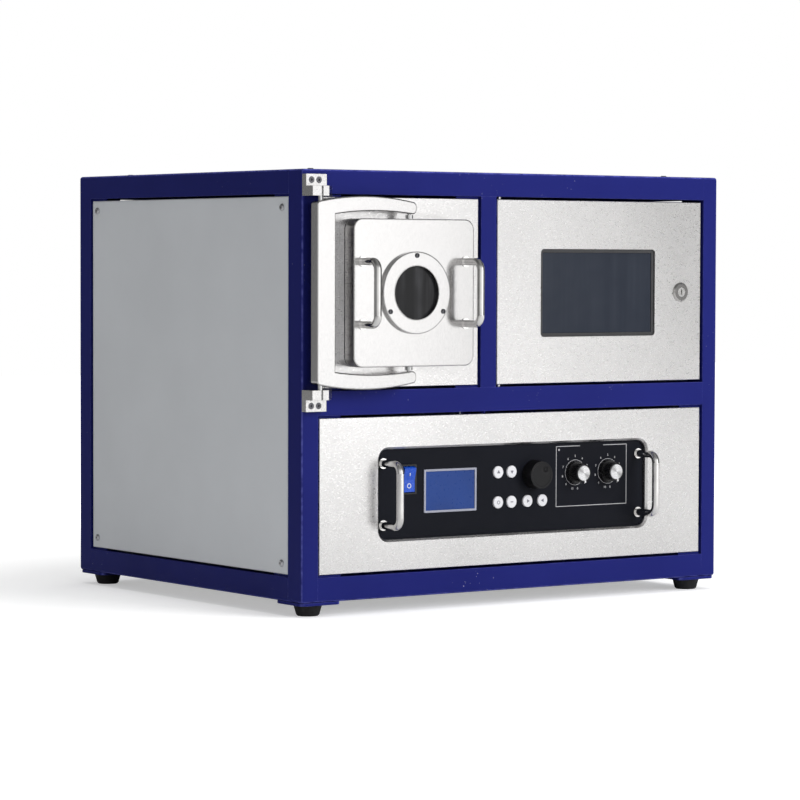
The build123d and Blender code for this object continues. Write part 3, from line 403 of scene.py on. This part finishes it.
def finish_mesh(made, smooth_angle=30.0):
    """Merges doubles, turns the faces outwards and shades the round parts smooth."""
    if made.mode != "EDIT":
        bpy.context.view_layer.objects.active = made
        bpy.ops.object.mode_set(mode="EDIT")
    bpy.ops.mesh.select_mode(type="VERT")
    bpy.ops.mesh.select_all(action="SELECT")
    bpy.ops.mesh.remove_doubles(threshold=1e-6)
    bpy.ops.mesh.normals_make_consistent(inside=False)
    bpy.ops.object.mode_set(mode="OBJECT")
    clear_selection()
    made.select_set(True)
    bpy.context.view_layer.objects.active = made
    bpy.ops.object.shade_smooth_by_angle(angle=math.radians(smooth_angle))
    return made


def dress(made, material, body):
    """Gives a finished piece its material and the body that it moves with."""
    made.data.materials.clear()
    made.data.materials.append(material)
    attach(made, body)
    return made


def joined(pieces, name):
    clear_selection()
    for piece in pieces:
        piece.select_set(True)
    bpy.context.view_layer.objects.active = pieces[0]
    if len(pieces) > 1:
        bpy.ops.object.join()
    made = bpy.context.object
    made.name = name
    made.data.name = name
    return made


def cut_with(made, cutter):
    """Takes the cutter's shape out of the piece and removes the cutter."""
    clear_selection()
    made.select_set(True)
    bpy.context.view_layer.objects.active = made
    change = made.modifiers.new("cut", "BOOLEAN")
    change.operation = "DIFFERENCE"
    change.solver = "EXACT"
    change.object = cutter
    bpy.ops.object.modifier_apply(modifier=change.name)
    bpy.data.objects.remove(cutter)


def node_middle(name):
    low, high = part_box(name)
    return (low + high) / 2


def fascia_front():
    """Y of the fascia's front face."""
    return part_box("rf_fascia")[0].y


def thicken_forward(made, height):
    """In edit mode, lifts the selected flat print off the fascia towards the front."""
    bpy.ops.mesh.select_all(action="SELECT")
    bpy.ops.mesh.extrude_region_move(TRANSFORM_OT_translate={"value": (0, -height, 0)})


def printed_ring(name, x, z, radius, width, height, front, vertices=96):
    """Flat ring printed round an axis along Y."""
    clear_selection()
    bpy.ops.mesh.primitive_circle_add(
        vertices=vertices, radius=radius + width / 2, fill_type="NGON",
        location=(x, front, z), rotation=(math.radians(90), 0, 0),
    )
    made = settle(name)
    bpy.ops.object.mode_set(mode="EDIT")
    bpy.ops.mesh.select_all(action="SELECT")
    bpy.ops.mesh.inset(thickness=width)
    bpy.ops.mesh.delete(type="FACE")
    thicken_forward(made, height)
    return finish_mesh(made)


def printed_text(name, body, x, z, size, front, height):
    """One short mark, made a mesh, upright on the fascia with its middle at x and z."""
    clear_selection()
    bpy.ops.object.text_add()
    text = bpy.context.object
    text.data.body = body
    text.data.size = size
    text.data.align_x = "CENTER"
    text.data.align_y = "CENTER"
    text.data.resolution_u = 4
    text.data.extrude = height / 2
    bpy.ops.object.convert(target="MESH")
    made = bpy.context.object
    low = [min(v.co[i] for v in made.data.vertices) for i in (0, 1)]
    high = [max(v.co[i] for v in made.data.vertices) for i in (0, 1)]
    shift = Matrix.Translation((-(low[0] + high[0]) / 2, -(low[1] + high[1]) / 2, 0))
    made.data.transform(shift)
    made.rotation_euler = (math.radians(90), 0, 0)
    made.location = (x, front - height / 2, z)
    return settle(name)


# ---------------------------------------------------------------- operators


class CLEANER_OT_cabinet(bpy.types.Operator):
    """Coat the tube frame and the grey sheets, and finish the feet and the screws"""

    bl_idname = "cleaner.cabinet"
    bl_label = "Finish the cabinet"

    def execute(self, context):
        look = context.scene.cleaner_cabinet
        blue = tuple(look.frame_blue)
        low = scaled(blue, 0.88)
        wear(
            powder_coat("blue_coat", low, blue, tuple(look.frame_edge), look.edge_radius, specks=0.8, specular=0.05),
            "front_frame", "rear_frame", "corner_plates", "panel_tabs",
        )
        grey = tuple(look.panel_grey)
        pale = scaled(grey, 1.06)
        wear(
            powder_coat("grey_coat", grey, pale, pale, 0.0006, peel=900.0, rough=(0.42, 0.55), specks=0.25),
            "left_panel", "right_panel", "top_panel", "bottom_panel", "rear_panel",
        )
        wear(moulded("foot_rubber", (0.012, 0.012, 0.013), (0.6, 0.8), 900.0, 0.00005), "feet")
        wear(drawn_steel("screw_metal", (0.56, 0.56, 0.58), 1, (0.22, 0.38)), "button_screws")
        wear(galvanised("zinc_coat"), "equipment_deck", "rf_case", "rf_rails")
        return {"FINISHED"}


class CLEANER_OT_front_plates(bpy.types.Operator):
    """Finish the satin steel plates of the front"""

    bl_idname = "cleaner.front_plates"
    bl_label = "Finish the front plates"

    def execute(self, context):
        steel = tuple(context.scene.cleaner_cabinet.steel)
        wear(satin_steel("front_steel", steel), "chamber_face", "lower_panel", "control_door")
        return {"FINISHED"}


class CLEANER_OT_chamber(bpy.types.Operator):
    """Finish the vacuum chamber, its seal, its electrode and the services behind it"""

    bl_idname = "cleaner.chamber"
    bl_label = "Finish the chamber"

    def execute(self, context):
        milled = satin_steel("milled_aluminium", (0.66, 0.66, 0.67), (1.0, 0.2, 1.0), (0.16, 0.26), 0.000006)
        wear(milled, "chamber", "electrode")
        wear(moulded("seal_rubber", (0.016, 0.014, 0.013), (0.45, 0.6), 700.0, 0.00002), "door_seal")
        wear(moulded("white_ceramic", (0.72, 0.70, 0.66), (0.35, 0.5), 500.0, 0.00002), "electrode_posts")
        wear(drawn_steel("port_steel", (0.62, 0.61, 0.60), 1, (0.20, 0.34)), "vacuum_port")
        wear(drawn_steel("nickel_brass", (0.62, 0.52, 0.34), 1, (0.18, 0.32)), "gas_inlets")
        tube = moulded("clear_tube", (0.62, 0.66, 0.70), (0.2, 0.3), 300.0, 0.00001, Transmission_Weight=0.35)
        wear(tube, "gas_lines")
        black = moulded("inlet_plastic", (0.014, 0.014, 0.015), (0.4, 0.55))
        wear(black, "mains_inlet", "fan_frame", "fan_rotor")
        return {"FINISHED"}


class CLEANER_OT_chamber_door(bpy.types.Operator):
    """Finish the hinge, the yoke, the door plate, its window and its handles"""

    bl_idname = "cleaner.chamber_door"
    bl_label = "Finish the chamber door"

    def execute(self, context):
        steel = tuple(context.scene.cleaner_cabinet.steel)
        pale = scaled(steel, 0.76)
        # Painted shade: the door plate, its ring and the yoke get dark outlines along their edges in place of the
        # shadow and dark reflection there.
        dark = scaled(steel, 0.22)
        door = satin_steel("door_steel", pale, (1.0, 1.0, 0.35), (0.14, 0.21), 0.000003, 0.0020, 0.03, dark)
        wear(door, "door_plate", "window_ring")
        arm = satin_steel("arm_metal", pale, (1.0, 1.0, 0.4), (0.16, 0.24), 0.000004, 0.0012, 0.03, dark)
        wear(arm, "yoke")
        # The hinge blocks keep the pale painted highlight along their edges.
        hinge = satin_steel("hinge_metal", pale, (1.0, 1.0, 1.0), (0.20, 0.30), 0.000006, 0.0005, 0.05)
        wear(hinge, "hinge_blocks")
        bars = drawn_steel("handle_steel", (0.80, 0.79, 0.78), 2, (0.06, 0.11))
        wear(bars, "door_handles", "rf_handles")
        pins = drawn_steel("pin_steel", (0.70, 0.70, 0.70), 2, (0.16, 0.28))
        wear(pins, "hinge_pins", "pivot_pins", "control_pins")
        wear(drawn_steel("dark_screw", (0.11, 0.11, 0.12), 1, (0.16, 0.30)), "hinge_screws", "ring_screws")
        wear(dark_glass("window_pane", (0.010, 0.010, 0.011), 7.0, (0.03, 0.09), 0.10, 0.10), "window_glass")
        return {"FINISHED"}


class CLEANER_OT_control_door(bpy.types.Operator):
    """Finish the touch screen and the cam lock of the control door"""

    bl_idname = "cleaner.control_door"
    bl_label = "Finish the control door"

    def execute(self, context):
        wear(dark_glass("touch_glass", (0.018, 0.023, 0.035), 1.12, (0.10, 0.18)), "hmi_glass")
        wear(moulded("screen_bezel", (0.040, 0.040, 0.042), (0.4, 0.55), 1200.0, 0.00002), "hmi_case")
        wear(drawn_steel("lock_chrome", (0.52, 0.51, 0.50), 1, (0.06, 0.14)), "lock_body")
        wear(drawn_steel("lock_steel", (0.74, 0.73, 0.72), 1, (0.20, 0.34)), "lock_rotor", "lock_nut")
        return {"FINISHED"}


class CLEANER_OT_power_unit(bpy.types.Operator):
    """Finish the fascia of the radio-frequency unit, its display, its switch and its knobs"""

    bl_idname = "cleaner.power_unit"
    bl_label = "Finish the radio-frequency unit"

    def execute(self, context):
        look = context.scene.cleaner_cabinet
        black = tuple(look.fascia_black)
        wear(
            powder_coat("black_coat", black, scaled(black, 1.2), (0.05, 0.05, 0.055), 0.0004,
                        peel=1300.0, rough=(0.42, 0.55), specular=0.08),
            "rf_fascia",
        )
        wear(moulded("switch_bezel", (0.016, 0.016, 0.018), (0.3, 0.42)), "rocker_bezel")
        wear(moulded("rocker_plastic", tuple(look.rocker_blue), (0.22, 0.32), 900.0, 0.00001, 0.5), "rocker")
        wear(moulded("display_frame", (0.34, 0.35, 0.42), (0.35, 0.5)), "lcd_frame")
        wear(lit_display("display_blue", (0.010, 0.042, 0.20), 0.18), "lcd_screen")
        white = moulded("key_plastic", (0.74, 0.74, 0.77), (0.3, 0.42), 900.0, 0.00001)
        wear(white, *("button_%d" % number for number in range(1, 7)))
        grip = moulded("grip_plastic", (0.008, 0.008, 0.009), (0.22, 0.34), 1500.0, 0.00001, 0.4)
        wear(grip, "tune_knob", "load_knob")
        for name in ("tune", "load"):
            axis = node_middle(name + "_knob")
            wear(spun_metal(name + "_spun_cap", (0.82, 0.82, 0.83), axis.x, axis.z), name + "_cap")
        return {"FINISHED"}


class CLEANER_OT_power_knob(bpy.types.Operator):
    """Model the ribbed power knob with its finger dimple in place of the plain turned one"""

    bl_idname = "cleaner.power_knob"
    bl_label = "Model the power knob"

    def execute(self, context):
        sizes = context.scene.cleaner_knob
        low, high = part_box("rf_knob")
        x, z = (low.x + high.x) / 2, (low.z + high.z) / 2
        rim = (high.x - low.x) / 2
        front, back = low.y, low.y + sizes.depth
        groove_wall = 0.10 * MM
        shaft_radius, shaft_overlap, shaft_bevel = 3.0 * MM, 0.4 * MM, 0.5 * MM
        clear_selection()
        bpy.ops.mesh.primitive_cylinder_add(
            vertices=2 * sizes.rib_count, radius=rim, depth=sizes.depth, end_fill_type="NGON",
            location=(x, (front + back) / 2, z), rotation=(math.radians(90), 0, 0),
        )
        made = settle("power_knob")
        bpy.ops.object.mode_set(mode="EDIT")
        step = math.pi / sizes.rib_count
        pick(made, lambda at, way: at.y < front + MM and way.y < -0.9)
        taper = sizes.face_radius / rim
        bpy.ops.transform.resize(value=(taper, 1, taper), center_override=(x, front, z))
        for border in (0.8 * MM, 1.3 * MM, 0.3 * MM):
            bpy.ops.mesh.inset(thickness=border)
        bpy.ops.transform.translate(value=(0, sizes.face_step, 0))

        def is_groove(at, way):
            turn = math.atan2(at.z - z, at.x - x) / step
            return abs(way.y) < 0.5 and int(math.floor(turn)) % 2 == 0

        pick(made, is_groove)
        bpy.ops.mesh.inset(thickness=groove_wall, use_individual=True)
        squeeze = (rim - sizes.rib_depth) / rim
        bpy.ops.transform.resize(value=(squeeze, 1, squeeze), center_override=(x, front, z))
        bpy.ops.object.mode_set(mode="OBJECT")
        knob = finish_mesh(made, 25.0)
        turn = math.radians(45)
        ball = sizes.dimple_radius ** 2 / (2 * sizes.dimple_depth) + sizes.dimple_depth / 2
        clear_selection()
        bpy.ops.mesh.primitive_uv_sphere_add(
            segments=48, ring_count=32, radius=ball,
            location=(
                x + sizes.dimple_offset * math.cos(turn),
                front + sizes.face_step + sizes.dimple_depth - ball,
                z + sizes.dimple_offset * math.sin(turn),
            ),
        )
        cut_with(knob, settle("dimple_cutter"))
        clear_selection()
        bpy.ops.mesh.primitive_cylinder_add(
            vertices=32, radius=shaft_radius, depth=high.y - back + shaft_overlap,
            location=(x, (back - shaft_overlap + high.y) / 2, z), rotation=(math.radians(90), 0, 0),
        )
        shaft = settle("power_shaft")
        bpy.ops.object.mode_set(mode="EDIT")
        pick(shaft, lambda one, other: min(one.y, other.y) > high.y - 0.1 * MM, "EDGE")
        bpy.ops.mesh.bevel(offset=shaft_bevel, segments=2)
        finish_mesh(shaft)
        knob = joined([knob, shaft], "power_knob")
        clear_selection()
        knob.select_set(True)
        bpy.context.view_layer.objects.active = knob
        bpy.ops.object.shade_smooth_by_angle(angle=math.radians(25.0))
        finish = moulded("knob_plastic", (0.007, 0.007, 0.008), (0.30, 0.42), 1500.0, 0.00001, 0.25)
        dress(knob, finish, "power_knob")
        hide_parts("rf_knob")
        return {"FINISHED"}


# Where the numbers 0 to 10 stand round a knob, in degrees.
NUMBER_TURNS = (281, 318, 351, 24, 57, 90, 123, 159, 192, 225, 258)


class CLEANER_OT_tuning_scales(bpy.types.Operator):
    """Print the rings, the numbers and the box round the two tuning knobs"""

    bl_idname = "cleaner.tuning_scales"
    bl_label = "Print the tuning scales"

    def execute(self, context):
        sizes = context.scene.cleaner_scale
        ink = printed_ink("white_ink", tuple(sizes.print_white))
        front = fascia_front()
        width, height = sizes.line_width, sizes.print_height
        middles = {name: node_middle(name + "_knob") for name in ("tune", "load")}
        for name, middle in middles.items():
            marks = [printed_ring(name + "_ring", middle.x, middle.z, sizes.ring_radius, width * 0.6, height, front)]
            for number, turn in enumerate(NUMBER_TURNS):
                x = middle.x + sizes.number_radius * math.cos(math.radians(turn))
                z = middle.z + sizes.number_radius * math.sin(math.radians(turn))
                label = "%s_number_%d" % (name, number)
                marks.append(printed_text(label, str(number), x, z, sizes.number_height, front, height))
            dress(joined(marks, name + "_scale"), ink, "cabinet")
        self.print_box(middles, ink, front, width, height)
        return {"FINISHED"}

    def print_box(self, middles, ink, front, width, height):
        """Box round both scales, with its top line open in the middle, and a dot in its corner."""
        x = (middles["tune"].x + middles["load"].x) / 2
        z = middles["tune"].z - 3.75 * MM
        half_w, half_h = 48.5 * MM, 32.5 * MM
        half_gap, cut_side = 15 * MM, 16 * MM
        dot_inset, dot_radius, dot_width = 4 * MM, 0.8 * MM, 0.7 * MM
        clear_selection()
        bpy.ops.mesh.primitive_plane_add(size=2, location=(x, front, z), rotation=(math.radians(90), 0, 0))
        bpy.context.object.scale = (half_w, half_h, 1)
        made = settle("scale_box")
        bpy.ops.object.mode_set(mode="EDIT")
        bpy.ops.mesh.select_all(action="SELECT")
        bpy.ops.mesh.inset(thickness=width)
        bpy.ops.mesh.delete(type="FACE")
        for place in (x - cut_side, x + cut_side):
            bpy.ops.mesh.select_all(action="SELECT")
            bpy.ops.mesh.bisect(plane_co=(place, front, z), plane_no=(1, 0, 0))
        pick(made, lambda at, way: at.z > z + half_h - 2 * width and abs(at.x - x) < half_gap)
        bpy.ops.mesh.delete(type="FACE")
        thicken_forward(made, height)
        box = finish_mesh(made)
        dot = printed_ring(
            "scale_dot", x - half_w + dot_inset, z + half_h - dot_inset, dot_radius, dot_width, height, front, 24
        )
        dress(joined([box, dot], "scale_box"), ink, "cabinet")


class CLEANER_OT_key_icons(bpy.types.Operator):
    """Print a plain symbol on each push button"""

    bl_idname = "cleaner.key_icons"
    bl_label = "Print the key symbols"

    def execute(self, context):
        ink = printed_ink("grey_ink", (0.16, 0.16, 0.19))
        height = context.scene.cleaner_scale.print_height
        for number, shape in enumerate(("up", "down", "ring", "bar", "left", "right"), start=1):
            node = "button_%d" % number
            low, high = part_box(node)
            x, z = (low.x + high.x) / 2, (low.z + high.z) / 2
            icon = self.symbol(shape, x, z, low.y, height)
            dress(joined([icon], node + "_symbol"), ink, "push_" + node)
        return {"FINISHED"}

    def symbol(self, shape, x, z, front, height):
        if shape == "ring":
            return printed_ring("symbol", x, z, 1.7 * MM, 0.6 * MM, height, front, 40)
        corners, size, squash = (4, 2.6 * MM, 0.28) if shape == "bar" else (3, 2.3 * MM, 1.0)
        clear_selection()
        bpy.ops.mesh.primitive_circle_add(
            vertices=corners, radius=size, fill_type="NGON",
            location=(x, front, z), rotation=(math.radians(90), 0, 0),
        )
        made = settle("symbol")
        turn = {"up": 0, "down": 180, "left": 90, "right": 270, "bar": 45}[shape]
        middle = Matrix.Translation((x, front, z))
        spin = middle @ Matrix.Rotation(math.radians(turn), 4, "Y") @ middle.inverted()
        made.data.transform(spin)
        bpy.ops.object.mode_set(mode="EDIT")
        bpy.ops.mesh.select_all(action="SELECT")
        bpy.ops.transform.resize(value=(1, 1, squash), center_override=(x, front, z))
        bpy.ops.mesh.select_all(action="SELECT")
        bpy.ops.mesh.bevel(offset=0.35 * MM, segments=3, affect="VERTICES")
        thicken_forward(made, height)
        return finish_mesh(made)


class CLEANER_OT_rocker_marks(bpy.types.Operator):
    """Print the on line and the off ring on the mains rocker"""

    bl_idname = "cleaner.rocker_marks"
    bl_label = "Print the rocker marks"

    def execute(self, context):
        ink = printed_ink("rocker_ink", (0.70, 0.72, 0.76))
        low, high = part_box("rocker")
        x = (low.x + high.x) / 2
        z = (low.z + high.z) / 2
        depth = 0.9 * MM
        marks = []
        for part, dz in (("line", 6.6 * MM), ("ring", -6.6 * MM)):
            front = self.face_at(x, z + dz)
            if part == "ring":
                marks.append(printed_ring("off_ring", x, z + dz, 2.2 * MM, 0.8 * MM, depth, front + 0.8 * MM, 48))
                continue
            clear_selection()
            bpy.ops.mesh.primitive_cube_add(size=1, location=(x, front + 0.35 * MM, z + dz))
            bpy.context.object.scale = (0.9 * MM, depth, 5.2 * MM)
            line = settle("on_line")
            bpy.ops.object.mode_set(mode="EDIT")
            pick(line, lambda one, other: abs(one.y - other.y) > 0.5 * depth, "EDGE")
            bpy.ops.mesh.bevel(offset=0.2 * MM, segments=2)
            marks.append(finish_mesh(line))
        dress(joined(marks, "rocker_marks"), ink, "rocker_switch")
        return {"FINISHED"}

    def face_at(self, x, z):
        """Y of the rocker's front surface behind x and z."""
        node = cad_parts["rocker"]
        hit, place, _, _ = node.ray_cast(Vector((x, -1.0, z)), Vector((0, 1, 0)))
        if not hit:
            raise RuntimeError("the rocker has no face behind its mark")
        return place.y


# Name, place, watts, width, height, and whether only reflections show it. The rest show in no reflection.
LAMPS = (
    ("key_light", (1.3, -2.9, 1.5), 92.0, 1.8, 1.8, False),
    ("top_light", (0.1, -0.3, 2.7), 34.0, 2.2, 2.2, False),
    ("left_light", (-2.9, -0.2, 1.3), 2.8, 1.6, 1.6, False),
    ("gloss_card", (1.32, -2.9, 0.86), 8.3, 1.15, 2.0, True),
)
LAMP_AIM_HEIGHT = 0.22
# The floor as the camera sees it brightens from the first to the second distance, up to white.
FLOOR_GLOW = (0.45, 1.1, 0.42, 1.0)
# Direction, then the two slopes towards it and the brightness that reflections find at each.
BACKDROP_FALL = (
    ((-0.70, 0.70, -0.05), (-0.30, 0.60, 1.1, 0.25)),
    ((1, 0, 0), (0.53, 0.70, 0.95, 0.15)),
    ((0, 0, 1), (0.30, 0.70, 1.0, 0.25)),
)
AMBIENT = 0.28


def sloped(tree, value, limits):
    """Map range of a socket: from low, from high, to low, to high."""
    return grow(tree, "ShaderNodeMapRange", {0: value, 1: limits[0], 2: limits[1], 3: limits[2], 4: limits[3]})


class CLEANER_OT_stage(bpy.types.Operator):
    """Set the camera, the pale floor, the backdrop and the soft lights"""

    bl_idname = "cleaner.stage"
    bl_label = "Set the stage"

    def execute(self, context):
        sizes = context.scene.cleaner_stage
        lens = bpy.data.cameras.new("studio_camera")
        lens.lens = sizes.lens
        lens.sensor_width = 36.0
        lens.clip_end = 40.0
        camera = bpy.data.objects.new("studio_camera", lens)
        camera.location = sizes.camera_place
        pitch, roll, yaw = sizes.camera_turn
        turned = Matrix.Rotation(yaw, 4, "Z") @ Matrix.Rotation(pitch, 4, "X") @ Matrix.Rotation(roll, 4, "Z")
        camera.rotation_euler = turned.to_euler()
        context.scene.collection.objects.link(camera)
        context.scene.camera = camera
        self.lay_floor(sizes.floor_size)
        self.paint_backdrop(context.scene)
        for lamp in LAMPS:
            self.hang_light(*lamp)
        context.scene.view_settings.view_transform = "Standard"
        return {"FINISHED"}

    def lay_floor(self, size):
        clear_selection()
        bpy.ops.mesh.primitive_plane_add(size=size)
        floor = settle("studio_floor")
        paper = bpy.data.materials.new("floor_paper")
        paper.use_nodes = True
        tree = paper.node_tree
        shader = tree.nodes["Principled BSDF"]
        shader.inputs["Base Color"].default_value = (0.80, 0.80, 0.80, 1.0)
        shader.inputs["Roughness"].default_value = 0.9
        shader.inputs["Specular IOR Level"].default_value = 0.0
        shader.inputs["Emission Color"].default_value = (1, 1, 1, 1)
        seen = grow(tree, "ShaderNodeLightPath", {}).outputs["Is Camera Ray"]
        place = grow(tree, "ShaderNodeTexCoord", {}).outputs["Object"]
        reach = grow(tree, "ShaderNodeVectorMath", {0: place}, operation="LENGTH").outputs["Value"]
        pale = sloped(tree, reach, FLOOR_GLOW).outputs[0]
        glow = grow(tree, "ShaderNodeMath", {0: seen, 1: pale}, operation="MULTIPLY").outputs[0]
        tree.links.new(glow, shader.inputs["Emission Strength"])
        floor.data.materials.append(paper)

    def paint_backdrop(self, scene):
        """White for the camera, an even ambient light, and a graded studio for reflections."""
        world = bpy.data.worlds.new("studio_world")
        scene.world = world
        world.use_nodes = True
        tree = world.node_tree
        back = tree.nodes["Background"]
        back.inputs["Color"].default_value = (1, 1, 1, 1)
        path = grow(tree, "ShaderNodeLightPath", {}).outputs
        place = grow(tree, "ShaderNodeTexCoord", {}).outputs["Generated"]
        falls = []
        for way, limits in BACKDROP_FALL:
            slope = grow(tree, "ShaderNodeVectorMath", {0: place, 1: way}, operation="DOT_PRODUCT").outputs["Value"]
            falls.append(sloped(tree, slope, limits).outputs[0])
        gradient = falls.pop()
        for fall in falls:
            gradient = grow(tree, "ShaderNodeMath", {0: fall, 1: gradient}, operation="MULTIPLY").outputs[0]
        ambient = grow(tree, "ShaderNodeMapRange", {0: path["Is Glossy Ray"], 3: AMBIENT, 4: gradient}).outputs[0]
        clear = {0: path["Is Camera Ray"], 1: path["Is Transmission Ray"]}
        plain = grow(tree, "ShaderNodeMath", clear, operation="MAXIMUM").outputs[0]
        total = grow(tree, "ShaderNodeMath", {0: plain, 1: ambient}, operation="MAXIMUM").outputs[0]
        tree.links.new(total, back.inputs["Strength"])

    def hang_light(self, name, place, power, width, height, gloss):
        lamp = bpy.data.lights.new(name, "AREA")
        lamp.energy = power
        lamp.shape = "RECTANGLE"
        lamp.size = width
        lamp.size_y = height
        light = bpy.data.objects.new(name, lamp)
        light.location = place
        aim = Vector((0.0, 0.0, place[2] if gloss else LAMP_AIM_HEIGHT)) - Vector(place)
        light.rotation_euler = aim.to_track_quat("-Z", "Y").to_euler()
        light.visible_glossy = gloss
        light.visible_diffuse = not gloss
        bpy.context.scene.collection.objects.link(light)


class CLEANER_PT_panel(bpy.types.Panel):
    """Lists the steps that finish the plasma cleaner, with their settings"""

    bl_idname = "CLEANER_PT_panel"
    bl_label = "Plasma cleaner"
    bl_space_type = "VIEW_3D"
    bl_region_type = "UI"
    bl_category = "Plasma cleaner"

    def draw(self, context):
        for step in STEPS:
            self.layout.operator(step.bl_idname)
        for name in SETTINGS:
            box = self.layout.box()
            group = getattr(context.scene, name)
            for key in group.bl_rna.properties.keys():
                if key not in ("rna_type", "name"):
                    box.prop(group, key)


STEPS = (
    CLEANER_OT_stage,
    CLEANER_OT_cabinet,
    CLEANER_OT_front_plates,
    CLEANER_OT_chamber,
    CLEANER_OT_chamber_door,
    CLEANER_OT_control_door,
    CLEANER_OT_power_unit,
    CLEANER_OT_power_knob,
    CLEANER_OT_tuning_scales,
    CLEANER_OT_key_icons,
    CLEANER_OT_rocker_marks,
)
SETTINGS = {
    "cleaner_cabinet": CabinetSettings,
    "cleaner_scale": ScaleSettings,
    "cleaner_knob": KnobSettings,
    "cleaner_stage": StageSettings,
}
CLASSES = (*SETTINGS.values(), *STEPS, CLEANER_PT_panel)


def register():
    for made in CLASSES:
        bpy.utils.register_class(made)
    for name, group in SETTINGS.items():
        setattr(bpy.types.Scene, name, bpy.props.PointerProperty(type=group))


def unregister():
    for name in SETTINGS:
        delattr(bpy.types.Scene, name)
    for made in reversed(CLASSES):
        bpy.utils.unregister_class(made)


def main():
    register()
    clear_selection()
    for step in STEPS:
        group, name = step.bl_idname.split(".")
        getattr(getattr(bpy.ops, group), name)()
    clear_selection()


if __name__ == "__main__":
    main()
